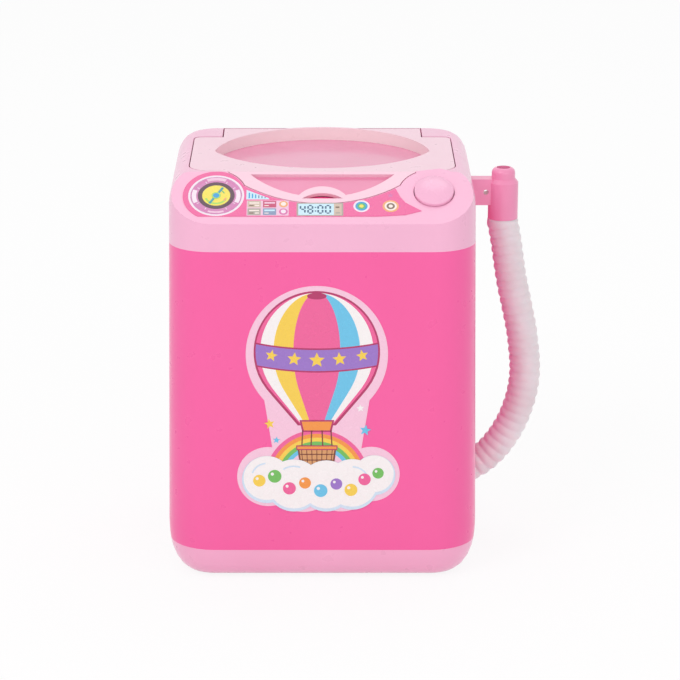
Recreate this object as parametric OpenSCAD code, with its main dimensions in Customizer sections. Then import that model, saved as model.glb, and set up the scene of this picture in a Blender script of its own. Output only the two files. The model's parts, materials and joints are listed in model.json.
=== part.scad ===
// Toy washing machine with a spinning basket, a hinged lid and a drain hose.
// Millimetres. X to the right, Y to the back, Z up. The origin is on the standing surface, under the
// middle of the body.

/* [Body] */
// Width across the body at its foot
body_w = 116; // [110:1:128]
// Depth of the body at its foot
body_d = 105; // [101:1:116]
// Height from the standing surface to the deck
body_h = 152; // [148:1:170]
// Corner radius of the body seen from above
corner_r = 17.8; // [15:0.2:21]
// Lean of each outside wall towards the top, in degrees
draft = 0.79; // [0.4:0.01:1.1]
// Thickness of the moulded walls
wall = 1.8; // [1.4:0.1:2.2]
// Height of the seam between base and cabinet
base_seam = 12.9; // [10:0.1:13.5]
// Height of the top cover, from its seam up to the deck
cover_h = 24.4; // [22:0.1:28]
// Height that the rubber feet lift the base
foot_h = 0.8; // [0.4:0.1:1.2]
// How far the round along the base's lower edge reaches in
bottom_round_w = 9; // [6:0.5:11]
// How high the round along the base's lower edge reaches
bottom_round_h = 18; // [12:0.5:20]
// How far the round along the deck's edge reaches in
top_round_w = 7; // [5:0.5:8]
// How high the round along the deck's edge is
top_round_h = 10; // [8:0.5:12]
// Height of the locating lips inside the seams
lip_h = 3; // [2:0.5:4]
// Thickness of the locating lips
lip_t = 1.2; // [0.8:0.1:1.6]

/* [Control panel] */
// Distance from the front face to the panel's lower edge
panel_set_back = 5; // [4:0.5:7]
// Distance from the deck down to the panel's lower edge
panel_drop = 12.1; // [10:0.1:13]
// Slope of the panel, in degrees
panel_angle = 32; // [28:1:36]
// Thickness of the printed labels
label_t = 0.2; // [0.1:0.1:0.4]
// Dial picture, in from the body's left side
dial_in = 19.4; // [18:0.1:22]
// Dial picture, up the panel's slope
dial_up = 10.5; // [9:0.1:12]
// Push button, in from the body's right side
button_in = 17.3; // [16:0.1:19]
// Push button, up the panel's slope
button_up = 12.5; // [11:0.1:13]
// Radius of the round pads under the dial picture and the button
pad_r = 12.2; // [11:0.1:13]
// Thickness of those pads
pad_t = 3; // [2.5:0.1:3.4]
// Radius of the button's cap
button_r = 7.2; // [6:0.1:7.4]
// Height of the button's cap above the panel
button_rise = 2.6; // [1.5:0.1:3.5]
// How far the button goes in
button_travel = 1.5; // [1:0.1:1.6]

/* [Lid] */
// Width of the lid
lid_w = 98; // [94:1:100]
// Thickness of the lid's plate
lid_t = 1.6; // [1.2:0.1:1.8]
// Seam round the lid
lid_gap = 0.4; // [0.3:0.1:0.6]
// Distance from the rear face to the hinge axis
hinge_inset = 13.5; // [13:0.5:15]
// Radius of the hinge's knuckle
knuckle_r = 4.4; // [3.8:0.1:4.6]
// Radius of the moulded hinge pins
trunnion_r = 1.5; // [1.2:0.1:1.8]
// Length of each hinge pin
trunnion_l = 3.4; // [2.5:0.1:4]
// Width of the lid's rear tongue
tongue_w = 76; // [70:1:78]
// Distance from the hinge axis to the rear edge of the lid's sides
lid_back_gap = 10.2; // [9:0.1:12]
// Corner radius at the lid's front
lid_corner_r = 8; // [6:0.5:10]
// Lower edge of the lid, up the panel's slope
lid_front_up = 6.9; // [6.5:0.1:8]
// Radius of the lid's lower edge
lid_front_r = 48; // [46:0.5:50]
// Width of the lid where it turns over the ridge
lid_nose_w = 68; // [64:1:70]
// Dish in the lid: half its width
dish_half_w = 40.5; // [38:0.5:41]
// Dish: where its two ends lie
dish_y = 4.6; // [3:0.1:5]
// Dish: how far its rear edge reaches behind the ends
dish_back_reach = 36.4; // [33:0.1:36.5]
// Dish: how far its front edge reaches forward of the ends
dish_front_reach = 27; // [24:0.5:27.5]
// Dish: depth below the deck
dish_depth = 4; // [3:0.1:4.4]
// Bead along the dish's rear edge: height at the back
bead_h = 0.8; // [0.4:0.1:1]
// Bead along the dish's rear edge: width
bead_w = 1.2; // [0.8:0.1:1.4]
// Thickness of the see-through window
window_t = 1.4; // [1:0.1:1.6]
// Window on the slope: its upper edge, up the panel's slope
facet_top_up = 21.5; // [20:0.1:22]
// Window on the slope: radius of its lower edge
facet_r = 36; // [34:0.5:38]
// Window on the slope: its lowest point, up the panel's slope
facet_low_up = 10; // [9.5:0.1:11]
// Finger notch: width
notch_w = 14.8; // [12:0.2:17]
// Finger notch: height
notch_h = 2.7; // [2:0.1:3.2]
// Finger notch: its lower edge, up the panel's slope
notch_up = 9.3; // [9:0.1:10]
// Thickness of the well that the lid lies in
well_t = 1.6; // [1.2:0.1:1.8]

/* [Tub and basket] */
// Drum axis, behind the middle of the body
drum_y = 2; // [0:0.5:3]
// Room from the tub to the walls in front and behind, shared evenly
tub_space = 10.9; // [10.3:0.1:12.1]
// Thickness of the tub and basket walls
tub_wall = 1.6; // [1.2:0.1:1.6]
// Height of the tub's underside
tub_base = 50; // [49.5:0.5:52]
// Distance from the deck down to the tub's rim
tub_rim_drop = 14; // [13.5:0.5:16]
// How far the tub's flange stands out
tub_flange = 2.7; // [2.3:0.1:3]
// How much wider the opening for the laundry is than the basket, all round
mouth_gap = 0.6; // [0.4:0.1:0.8]
// Gap between the basket and the tub
basket_gap = 2.8; // [2.6:0.1:5.2]
// How far the basket's rim lies below the tub's rim
basket_drop = 7.7; // [7.7:0.1:24]
// Radius of the basket's drain holes
drain_hole_r = 1.6; // [1:0.1:2.2]
// Rows of drain holes
drain_rows = 4; // [3:1:5]
// Drain holes in each row
drain_cols = 16; // [12:2:18]
// Gap from the pulsator's edge out to the basket's outside
pulsator_gap = 9.4; // [7.4:0.2:15.4]
// Number of vanes on the pulsator
vanes = 3; // [3:1:5]

/* [Drive] */
// Radius of the spindle
spindle_r = 1.5; // [1.2:0.1:1.8]
// Running clearance of shafts in their bores
run_gap = 0.04; // [0.02:0.01:0.08]
// Module of the gears
gear_module = 0.5; // [0.45:0.05:0.5]
// Teeth on the spindle gear
gear_teeth = 48; // [44:4:52]
// Teeth on the motor pinion
pinion_teeth = 12; // [12:4:16]
// Width of the spindle gear
gear_face = 3.6; // [3:0.1:4]
// Motor: width across its round sides
motor_w = 20; // [18:0.5:21]
// Motor: thickness across its flats
motor_d = 15; // [14:0.5:16]
// Motor: length of its can
motor_l = 25; // [20:0.5:27]
// Motor: radius of its shaft
motor_shaft_r = 1; // [0.8:0.1:1.2]
// Thickness of the gearbox plate
plate_t = 2; // [1.6:0.1:2.4]

/* [Batteries] */
// Diameter of a cell
cell_d = 14.5; // [14:0.1:14.5]
// Length of a cell with its nub
cell_l = 50.5; // [49:0.1:50.5]
// Height of the battery door's pivot
door_low = 17; // [16.5:0.5:18]
// Height of the battery door above its pivot
door_h = 30.4; // [30.4:0.1:31.4]
// Width of the battery door
door_w = 57.4; // [57:0.1:60]
// Seam round the battery door
door_gap = 0.3; // [0.2:0.05:0.4]
// Diameter of each lead
lead_d = 1.6; // [1.2:0.1:2]

/* [Hose] */
// Outside diameter of the ribbed hose
hose_d = 12; // [11:0.5:12.5]
// Bore of the drain path
drain_bore_r = 3.4; // [3:0.1:4]
// Where the hose and its hook lie, behind the middle of the body
hose_y = 8; // [6:0.5:10]
// Distance from the deck down to the lower end of the hook's barrel
hook_drop = 26.6; // [24:0.1:28]
// Radius of the hook's barrel
barrel_r = 5.7; // [5.2:0.1:6]
// Height of the hook's barrel
barrel_h = 15.5; // [14:0.5:17]
// Radius of the neck on the barrel
neck_r = 4.45; // [4:0.05:4.8]
// Height of the neck on the barrel
neck_h = 4.1; // [3:0.1:5]
// Radius of the open mouth in the neck
mouth_bore_r = 2.6; // [2:0.1:3]
// Height of the arm that carries the barrel
arm_h = 10; // [8:0.5:11]
// Thickness of that arm
arm_t = 6; // [5:0.5:8]
// Size of the peg that goes into the top cover: height
peg_h = 7; // [5:0.5:8]
// Size of the peg: thickness
peg_t = 4; // [3:0.5:5]
// Length of the peg inside the cover
peg_l = 7; // [5:0.5:8]

/* [Hidden] */
$fn = 48;

// Colours of the mouldings and the parts inside
hot_pink = "#FF63AA";
pale_pink = "#FBBADA";
lid_pink = "#FDD0E0";
glass_pink = "#FE9CC0";
hook_pink = "#FF94BE";
hose_white = "#F3D6DE";
steel = "silver";
dark_rubber = "dimgray";

// Small allowances
cut = 0.5;
seat_gap = 0.3;
lip_gap = 0.15;
corner_steps = 8;
round_step = 15;

// Levels of the main parts
base_z = foot_h;
floor_z = foot_h + wall;
top_seam = body_h - cover_h;
panel_y = -body_d / 2 + panel_set_back;
panel_z = body_h - panel_drop;
dial_x = body_w / 2 - dial_in;
button_x = body_w / 2 - button_in;
ridge_up = panel_drop / sin(panel_angle);
ridge_y = panel_y + panel_drop / tan(panel_angle);

// Lid and its well
hinge_y = body_d / 2 - hinge_inset;
hinge_z = body_h - knuckle_r;
lid_back = hinge_y - lid_back_gap;
trough_r = knuckle_r + 2.5;
tongue_end = knuckle_r - 0.5;
dish_floor = body_h - dish_depth;
window_low = dish_floor - window_t;
well_z = window_low - 2.3;
lid_low = well_z + seat_gap;
skirt_t = 1.5;
swing_gap = 0.65;
dish_front_r = arc_radius(dish_half_w, dish_front_reach);
dish_back_r = arc_radius(dish_half_w, dish_back_reach);
well_depth = lid_t + window_t + 0.6;
arch_r = 10.5;
arch_up = notch_up + notch_h + 3.4 - arch_r;
notch_r = arc_radius(notch_w / 2, notch_h);
lid_bay_x = (dial_x + button_x) / 2;
lid_bay_up = (dial_up + button_up) / 2;
lid_bay_r = pad_r + 0.1;

// Tub, basket and drive
tub_rim = body_h - tub_rim_drop;
tub_r = body_d / 2 - wall - tub_space;
tub_in_r = tub_r - tub_wall;
basket_r = tub_in_r - basket_gap;
mouth_r = basket_r + mouth_gap;
pulsator_r = basket_r - pulsator_gap;
tub_floor = tub_base + 2;
basket_z = tub_floor + 2.3;
basket_floor = basket_z + 1.5;
basket_h = tub_rim - basket_drop - basket_z;
neck_skirt_t = 1.8;
hub_r = 6;
hub_z = basket_floor + 6.5;
bush_r = 3;
bush_drop = 1.4;
gear_top = tub_base - bush_drop - 0.8;
gear_z = gear_top - gear_face;
plate_z = gear_z - 0.7 - plate_t;
motor_z = plate_z - motor_l;
gear_distance = gear_module * (gear_teeth + pinion_teeth) / 2;
motor_y = drum_y - gear_distance;
plate_half_x = 16;
plate_front = motor_y - motor_d / 2 - 9.5;
plate_back = drum_y + 14;
post_x = 13;
post_r = 2.5;

// Screws: where they stand
screw_x = body_w / 2 - 17;
screw_y = body_d / 2 - 16.5;
boss_r = 3.6;
boss_h = 14;
head_z = base_z + 5.2;
foot_x = body_w / 2 - 15;
foot_y = body_d / 2 - 25.5;
foot_r = 4.5;
cover_front_x = 24;
cover_front_y = body_d / 2 - 6.7;
cover_rear_x = body_w / 2 - 14;
cover_rear_y = body_d / 2 - 16.5;
tab_z = top_seam - 5;
cover_boss_r = 2.9;
ear_a = 32;
ear_r = tub_r + tub_flange + 1.6;

// Switch under the button
flange_r = button_r + 1;
hole_gap = 0.3;
flange_top = -pad_t - 0.3;
flange_t = 1.2;
stem_r = 2;
stem_end = flange_top - flange_t - 1.8;
switch_top = stem_end - button_travel - seat_gap;
switch_size = 8;
switch_l = 8;
plunger_w = 3;
plunger_end = switch_top - 1.2;
switch_post_x = 10.8;
switch_post_r = 1.9;

// Battery bay
cell_r = cell_d / 2;
cell_pitch = cell_d + 0.3;
box_wall = 1.2;
box_z = door_low - 1.7;
box_back = back_in(door_low + door_h) - 1.2;
cell_y = box_back - 0.4 - cell_r;
cell_z1 = box_z + box_wall + 0.3 + cell_r;
cell_z2 = cell_z1 + cell_pitch;
box_top = cell_z2 + cell_r + 0.3 + box_wall;
box_front = cell_y - cell_r - 0.3 - box_wall;
spring_l = 3.1;
contact_t = 0.4;
box_in = cell_l / 2 + spring_l / 2 + contact_t;
door_axis_in = 1.2;
door_sill = door_low - door_axis_in - door_gap;
door_top = door_low + door_h;
tab_up = door_top + 3.1;
tab_r = 4.6;
door_screw_up = tab_up + 0.6;
screw_sink = 0.9;

// Hose, elbow and hook
elbow_x = 26;
elbow_r = 5;
hose_exit_x = 53;
hose_exit_z = 25;
barrel_x = body_w / 2 + 10.7;
barrel_z = body_h - hook_drop;
arm_top = barrel_z + barrel_h;
arm_z = arm_top - arm_h / 2;
side_out = body_w / 2 - arm_z * tan(draft);
hose_points = [[53, 25], [55.5, 25], [58.2, 25.8], [60.8, 27.3], [63.6, 29.5], [66.2, 32.1], [68.6, 35.1],
    [70.8, 38.4], [72.8, 42], [74.5, 45.8], [75.9, 49.8], [77.1, 54.1], [77.9, 58.6], [78.3, 63.3],
    [78.2, 68.4], [77.6, 74.4], [76.8, 80.4], [75.6, 86.5], [74.3, 92.6], [73.1, 98], [72.1, 103.3],
    [71.3, 108.5], [70.6, 113.3], [69.9, 117.6], [69.2, 121.3], [68.7, 123.9], [68.7, 125.4]];
hose_sides = 12;

// Leads between the cells, the switch and the motor
lead_side = body_w / 2 - 8;
lead_back = body_d / 2 - 18.5;
lead_front = -body_d / 2 + 12.5;
switch_at = panel_point(button_x, button_up, switch_top - switch_l - 2);
red_end = switch_at + [1.2, 0.11, -3.17];
white_end = switch_at + [-1.2, 0.11, -3.17];
red_route = [[box_in + box_wall + 0.9, cell_y, cell_z1], [36.5, cell_y, 27.5], [lead_side - 4, lead_back, 33],
    [lead_side, lead_back - 12, 50], [lead_side, hose_y - 2, 72], red_end + [7.1, 15.2, -32],
    red_end + [4.1, 3.2, -15], red_end + [1.1, -0.8, -5], red_end];
white_route = [white_end, white_end + [0.5, -5.8, -6], white_end + [1.5, -10.8, -20], [39, lead_front, 80],
    [31, lead_front + 2, 52], [20, lead_front + 9, 34], [11, lead_front + 12, 19], [6, motor_y - 7, 12.5],
    [4.2, motor_y - 1.6, 12], [4, motor_y, motor_z - 1.4]];
black_route = [[-box_in - box_wall - 0.9, cell_y, cell_z1], [-33, lead_back + 5, 22], [-35, lead_back - 1, 18],
    [-34, lead_back - 10, 13], [-28, 12, 9], [-18, 0, 8], [-10, motor_y + 6, 9], [-5.4, motor_y + 2, 11],
    [-4, motor_y, motor_z - 1.4]];

// A point given on the panel's slope
function panel_point(x, up, out) = [x, panel_y + up * cos(panel_angle) - out * sin(panel_angle),
    panel_z + up * sin(panel_angle) + out * cos(panel_angle)];

// Radius of an arc from half its chord and its rise
function arc_radius(half, rise) = (half * half + rise * rise) / (2 * rise);

// How far the body's skin lies inside its foot size at a height
function round_in(reach, e) = e <= 0 ? 0 : reach * (1 - sqrt(1 - min(1, e) * min(1, e)));
function skin_inset(z) = z * tan(draft)
    + round_in(bottom_round_w, (base_z + bottom_round_h - z) / bottom_round_h)
    + round_in(top_round_w, (z - body_h + top_round_h) / top_round_h);
function back_in(z) = body_d / 2 - z * tan(draft) - wall;

// Heights at which the skin bends, between two levels
skin_levels = concat(
    [for (a = [90:-round_step:0]) base_z + bottom_round_h * (1 - sin(a))],
    [for (a = [0:round_step:90]) body_h - top_round_h * (1 - sin(a))]);
function levels(low, high) = concat([low], [for (z = skin_levels) if (z > low + 0.05 && z < high - 0.05) z],
    [high]);

// One level outline of the body, drawn in by an offset
function ring(z, inset) = let (i = skin_inset(z) + inset, r = max(0.5, corner_r - i))
    [for (c = [0:3], k = [0:corner_steps]) let (a = 90 * (c + k / corner_steps),
        sx = c == 0 || c == 3 ? 1 : -1, sy = c < 2 ? 1 : -1)
        [sx * (body_w / 2 - i - r) + r * cos(a), sy * (body_d / 2 - i - r) + r * sin(a), z]];

// Closed skin through a list of rings, each with the same number of points
function skin_faces(rings, n) = concat([[for (i = [0:n - 1]) i]],
    [for (j = [0:rings - 2], i = [0:n - 1]) let (k = (i + 1) % n)
        [j * n + i, (j + 1) * n + i, (j + 1) * n + k, j * n + k]],
    [[for (i = [n - 1:-1:0]) (rings - 1) * n + i]]);

// Body-shaped block between two levels
module body_block(low, high, inset = 0) {
    zs = levels(low, high);
    n = 4 * (corner_steps + 1);
    polyhedron([for (z = zs, p = ring(z, inset)) p], skin_faces(len(zs), n), convexity = 4);
}

// Body-shaped wall between two levels and two insets
module body_wall(low, high, outside, inside) {
    difference() {
        body_block(low, high, outside);
        body_block(low - cut, high + cut, inside);
    }
}

// Round tube swept along a list of points
function unit(v) = v / norm(v);
function along(pts, i) = unit(pts[min(i + 1, len(pts) - 1)] - pts[max(i - 1, 0)]);
module swept_tube(pts, r, sides, side_dir) {
    rings = [for (i = [0:len(pts) - 1]) let (t = along(pts, i), u = unit(cross(side_dir, t)), v = cross(t, u))
        for (k = [0:sides - 1]) let (a = 360 * k / sides) pts[i] + r * (cos(a) * u + sin(a) * v)];
    polyhedron(rings, skin_faces(len(pts), sides), convexity = 6);
}

// Places: on the panel's slope, on the front wall and on the rear wall, facing outwards
module on_panel(x = 0, up = 0, out = 0) {
    translate([0, panel_y, panel_z]) rotate([panel_angle, 0, 0]) translate([x, up, out]) children();
}
module on_front(x = 0, up = 0, out = 0) {
    translate([0, -body_d / 2, 0]) rotate([90 - draft, 0, 0]) translate([x, up, out]) children();
}
module on_back(x = 0, up = 0, out = 0) {
    mirror([0, 1, 0]) on_front(x, up, out) children();
}
module both_sides() {
    for (s = [0, 1]) mirror([s, 0, 0]) children();
}
module four_corners() {
    for (s = [0, 1], t = [0, 1]) mirror([s, 0, 0]) mirror([0, t, 0]) children();
}

// Everything above the panel's slope, from a depth below it
module over_panel(depth) {
    on_panel(0, 0, -depth) translate([-body_w, -body_d, 0]) cube([2 * body_w, 2 * body_d, body_h]);
}

// Lid outline on the deck, grown all round
function arc(c, r, from, to) = [for (k = [0:6]) let (a = from + (to - from) * k / 6) c + r * [cos(a), sin(a)]];
function deck_half(grow, back) = concat(
    [[lid_nose_w / 2 - 5 + grow, ridge_y - 2 - grow], [lid_nose_w / 2 - 0.4 + grow, ridge_y + 0.25]],
    arc([lid_w / 2 - lid_corner_r, ridge_y + 1.5 + lid_corner_r], lid_corner_r + grow, -90, 0),
    arc([lid_w / 2 - 3, back - 3], 3 + grow, 0, 90),
    [[tongue_w / 2 + grow, back + grow], [tongue_w / 2 + grow, hinge_y]]);
module lid_deck(grow, low, high, back = lid_back) {
    half = deck_half(grow, back);
    translate([0, 0, low]) linear_extrude(high - low)
        polygon(concat(half, [for (i = [len(half) - 1:-1:0]) [-half[i][0], half[i][1]]]));
}

// Lid outline on the slope, grown all round, between two depths
module lid_slope(grow, low, high) {
    on_panel() difference() {
        intersection() {
            translate([0, lid_front_up + lid_front_r, low]) cylinder(r = lid_front_r + grow, h = high - low, $fn = 96);
            translate([-lid_nose_w / 2 - grow, -ridge_up, low])
                cube([lid_nose_w + 2 * grow, 2 * ridge_up + 3, high - low]);
        }
        both_sides() translate([lid_bay_x, lid_bay_up, low - cut])
            cylinder(r = lid_bay_r - grow, h = high - low + 2 * cut);
    }
}

// Outline of the dish, grown all round: where two round discs overlap
module dish(grow, low, high) {
    h = high - low;
    intersection() {
        translate([0, dish_y + dish_back_reach - dish_back_r, low])
            cylinder(r = dish_back_r + grow, h = h, $fn = 96);
        translate([0, dish_y - dish_front_reach + dish_front_r, low])
            cylinder(r = dish_front_r + grow, h = h, $fn = 96);
    }
}

// Bead along the dish's rear edge, rising from nothing at the ends
module dish_bead() {
    intersection() {
        translate([0, dish_y + dish_back_reach - dish_back_r, 0])
            pipe(dish_back_r + bead_w, dish_back_r - cut, body_h - lid_t, body_h + 2 * bead_h);
        translate([0, dish_y, body_h]) rotate([atan(bead_h / dish_back_reach), 0, 0])
            translate([-body_w / 2, 0, -lid_t]) cube([body_w, body_d, lid_t]);
    }
}

// Window outline on the slope
module facet(grow, low, high) {
    on_panel() intersection() {
        translate([0, facet_low_up + facet_r, low]) cylinder(r = facet_r + grow, h = high - low, $fn = 96);
        translate([-body_w / 2, -ridge_up, low]) cube([body_w, ridge_up + facet_top_up + grow, high - low]);
    }
}

// Half-moon finger notch on the slope
module finger_notch(grow, low, high) {
    on_panel() intersection() {
        translate([0, notch_up + notch_h - notch_r, low]) cylinder(r = notch_r + grow, h = high - low);
        translate([-notch_w, notch_up - grow, low]) cube([2 * notch_w, notch_w, high - low]);
    }
}

// Screw pointing up, with its head's underside at the origin
module screw_up(shank_r, shank_l, head_r, head_t) {
    translate([0, 0, -head_t]) difference() {
        cylinder(r = head_r, h = head_t);
        translate([0, 0, -cut]) slot_cross(head_r * 1.2, head_t * 0.5 + cut);
    }
    cylinder(r = shank_r, h = shank_l - shank_r);
    translate([0, 0, shank_l - shank_r]) cylinder(r1 = shank_r, r2 = shank_r * 0.3, h = shank_r, $fn = 24);
}
module slot_cross(across, deep) {
    for (a = [0, 90]) rotate([0, 0, a]) translate([-across / 2, -0.3, 0]) cube([across, 0.6, deep]);
}

// Round standing wall
module pipe(r_out, r_in, low, high) {
    difference() {
        translate([0, 0, low]) cylinder(r = r_out, h = high - low, $fn = 96);
        translate([0, 0, low - cut]) cylinder(r = r_in, h = high - low + 2 * cut, $fn = 96);
    }
}

// Involute gear outline: points up one flank and down the other, for each tooth
function inv(a) = tan(a) - a * PI / 180;
function pitch_r(teeth) = gear_module * teeth / 2;
function flank_angle(teeth, r) = let (base = pitch_r(teeth) * cos(20))
    90 / teeth * 0.86 + (inv(20) - (r > base ? inv(acos(base / r)) : 0)) * 180 / PI;
function gear_points(teeth, turn) = let (p = pitch_r(teeth), root = p - 1.25 * gear_module,
    tip = p + 0.85 * gear_module, rs = [root, p - 0.45 * gear_module, p, tip])
    [for (t = [0:teeth - 1], k = [0:7]) let (r = rs[k < 4 ? k : 7 - k],
        a = turn + 360 * t / teeth + (k < 4 ? -1 : 1) * flank_angle(teeth, r)) r * [cos(a), sin(a)]];

module base_tray() {
    color(pale_pink) difference() {
        union() {
            difference() {
                body_block(base_z, base_seam);
                body_block(floor_z, base_seam + cut, wall);
            }
            body_wall(base_seam - lip_h, base_seam + lip_h, wall + lip_gap, wall + lip_gap + lip_t);
            body_wall(base_seam - lip_h, base_seam - lip_h / 2, wall - 0.1, wall + lip_gap + lip_t);
            four_corners() translate([screw_x, screw_y, floor_z - cut]) cylinder(r = boss_r, h = base_seam - floor_z + cut);
        }
        translate([-door_w / 2 - 4.8, body_d / 2 - 8, base_seam + 0.2]) cube([door_w + 9.6, 8, 2 * lip_h]);
        four_corners() {
            translate([screw_x, screw_y, 0]) cylinder(r = 2.7, h = head_z);
            translate([screw_x, screw_y, 0]) cylinder(r = 1.4, h = base_seam + cut);
            translate([foot_x, foot_y, 0]) cylinder(r = foot_r + 0.05, h = base_z + 0.8);
        }
    }
}

module rubber_feet() {
    color(dark_rubber) four_corners() translate([foot_x, foot_y, 0]) cylinder(r = foot_r, h = base_z + 0.8);
}

module base_screws() {
    color(steel) four_corners() translate([screw_x, screw_y, head_z]) screw_up(1.2, 18, 2.4, 1.6);
}

// Web from a screw post out to the middle of the wall at the corner
function web_reach(x, y, z) = let (dx = x - body_w / 2 + corner_r, dy = y - body_d / 2 + corner_r,
    s = (dx + dy) / sqrt(2), r = corner_r - skin_inset(z) - wall / 2) sqrt(s * s + r * r - dx * dx - dy * dy) - s;
module corner_web(reach, h) {
    rotate([0, 0, 45]) translate([0, -0.8, 0]) cube([reach, 1.6, h]);
}

module cabinet() {
    color(hot_pink) difference() {
        union() {
            body_wall(base_seam, top_seam, 0, wall);
            four_corners() translate([screw_x, screw_y, base_seam]) {
                cylinder(r = boss_r, h = boss_h);
                translate([0, 0, lip_h + 1]) corner_web(web_reach(screw_x, screw_y, base_seam + boss_h), boss_h - lip_h - 1);
            }
            both_sides() {
                translate([cover_front_x, -cover_front_y, tab_z - 2]) cylinder(r = 4, h = 2);
                translate([cover_rear_x, cover_rear_y, tab_z - 2]) {
                    cylinder(r = 4, h = 2);
                    corner_web(web_reach(cover_rear_x, cover_rear_y, tab_z), 2);
                }
                on_back(door_w / 2 + door_gap, 0, 0) translate([0, door_sill - 1, -4]) cube([4, 5.2, 4 - wall / 2]);
            }
            on_back(0, tab_up, -6) cylinder(r = tab_r + 2, h = 6 - wall / 2);
        }
        four_corners() translate([screw_x, screw_y, base_seam - cut]) cylinder(r = 1.2, h = boss_h + cut - 1);
        both_sides() {
            translate([cover_front_x, -cover_front_y, tab_z - 3]) cylinder(r = 1.5, h = 4);
            translate([cover_rear_x, cover_rear_y, tab_z - 3]) cylinder(r = 1.5, h = 4);
            on_back(door_w / 2, door_low, -door_axis_in) rotate([0, 90, 0]) cylinder(r = 0.85, h = 3.2);
        }
        on_back(-door_w / 2 - door_gap, door_sill, -10)
            cube([door_w + 2 * door_gap, door_top + door_gap - door_sill, 12]);
        on_back(0, tab_up, -2) cylinder(r = tab_r + door_gap, h = 4);
        on_back(0, door_screw_up, -10) cylinder(r = 1.5, h = 12);
        translate([0, hose_y, hose_exit_z + 0.8]) rotate([0, 90, 0]) cylinder(r = hose_d / 2 + 0.85, h = body_w);
    }
}

module top_cover() {
    well = lid_gap + well_t;
    color(pale_pink) difference() {
        union() {
            difference() {
                body_block(top_seam, body_h);
                over_panel(0);
                difference() {
                    body_block(top_seam - cut, body_h - wall, wall);
                    over_panel(wall);
                }
            }
            body_wall(top_seam - lip_h, top_seam + lip_h, wall + lip_gap, wall + lip_gap + lip_t);
            body_wall(top_seam + lip_h / 2, top_seam + lip_h, wall - 0.1, wall + lip_gap + lip_t);
            on_panel(-dial_x, dial_up, -pad_t) cylinder(r = pad_r, h = pad_t);
            on_panel(button_x, button_up, -pad_t) cylinder(r = pad_r, h = pad_t);
            translate([0, drum_y, 0]) pipe(mouth_r + neck_skirt_t, mouth_r, tub_rim - 4, well_z);
            difference() {
                union() {
                    lid_deck(well, well_z - well_t, body_h - wall / 2);
                    lid_slope(well, -well_depth - well_t, -wall / 2);
                    translate([0, hinge_y, hinge_z]) rotate([0, 90, 0])
                        cylinder(r = trough_r + well_t, h = tongue_w + 3, center = true);
                    both_sides() translate([tongue_w / 2 + 0.5, hinge_y - 5, well_z - well_t])
                        cube([5, 11, body_h - wall / 2 - well_z + well_t]);
                }
                over_panel(wall / 2);
                translate([-body_w, -body_d, body_h - wall / 2]) cube([2 * body_w, 2 * body_d, body_h]);
            }
            both_sides() {
                translate([cover_front_x, -cover_front_y, tab_z]) cylinder(r = cover_boss_r, h = panel_z - 1.4 - tab_z);
                translate([cover_rear_x, cover_rear_y, tab_z]) cylinder(r = cover_boss_r, h = body_h - wall / 2 - tab_z);
                on_panel(button_x, button_up) translate([switch_post_x, 0, switch_top])
                    cylinder(r = switch_post_r, h = -switch_top - wall / 2);
            }
            on_panel(button_x, button_up) translate([-switch_post_x, 0, switch_top])
                cylinder(r = switch_post_r, h = -switch_top - wall / 2);
            four_ears() translate([0, 0, tub_rim]) cylinder(r = 2.6, h = well_z - well_t - tub_rim + cut);
            translate([side_out - wall / 2 - peg_l - 1.5, hose_y - peg_t / 2 - 1.6, arm_z - peg_h / 2 - 1.6])
                cube([peg_l + 1.5, peg_t + 3.2, peg_h + 3.2]);
        }
        lid_deck(lid_gap, well_z, body_h + pad_t);
        lid_slope(lid_gap, -well_depth, body_h);
        translate([0, hinge_y, hinge_z]) rotate([0, 90, 0]) cylinder(r = trough_r, h = tongue_w + 1, center = true);
        translate([-tongue_w / 2 - 0.5, lid_back, hinge_z]) cube([tongue_w + 1, hinge_y - lid_back, knuckle_r + cut]);
        both_sides() translate([tongue_w / 2, hinge_y, hinge_z]) rotate([0, 90, 0])
            cylinder(r = trunnion_r + run_gap + 0.02, h = trunnion_l + 1);
        translate([0, drum_y, tub_rim - 5]) cylinder(r = mouth_r, h = body_h, $fn = 96);
        on_panel(button_x, button_up, -pad_t - cut) cylinder(r = button_r + hole_gap, h = pad_t + 2 * cut);
        on_panel(button_x, button_up, flange_top - button_travel - 0.2)
            cylinder(r = button_r + 0.5, h = button_travel + 0.2 - flange_top - pad_t);
        both_sides() {
            translate([cover_front_x, -cover_front_y, tab_z - cut]) cylinder(r = 1.2, h = 12);
            translate([cover_rear_x, cover_rear_y, tab_z - cut]) cylinder(r = 1.2, h = 12);
        }
        four_ears() translate([0, 0, tub_rim - cut]) cylinder(r = 0.8, h = 4);
        on_panel(button_x, button_up) for (s = [-1, 1])
            translate([s * switch_post_x, 0, switch_top - cut]) cylinder(r = 0.8, h = 5);
        translate([side_out - wall / 2 - peg_l, hose_y - peg_t / 2 - 0.2, arm_z - peg_h / 2 - 0.2])
            cube([peg_l + wall, peg_t + 0.4, peg_h + 0.4]);
    }
}

module cover_screws() {
    color(steel) both_sides() {
        translate([cover_front_x, -cover_front_y, tab_z - 2]) screw_up(1.2, 13, 2.6, 1.6);
        translate([cover_rear_x, cover_rear_y, tab_z - 2]) screw_up(1.2, 13, 2.6, 1.6);
    }
}

// Four places round the drum's axis where the tub is screwed up into the top cover
module four_ears() {
    for (a = [ear_a, 180 - ear_a, 180 + ear_a, 360 - ear_a])
        translate([0, drum_y, 0]) rotate([0, 0, a]) translate([ear_r, 0, 0]) children();
}

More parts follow.
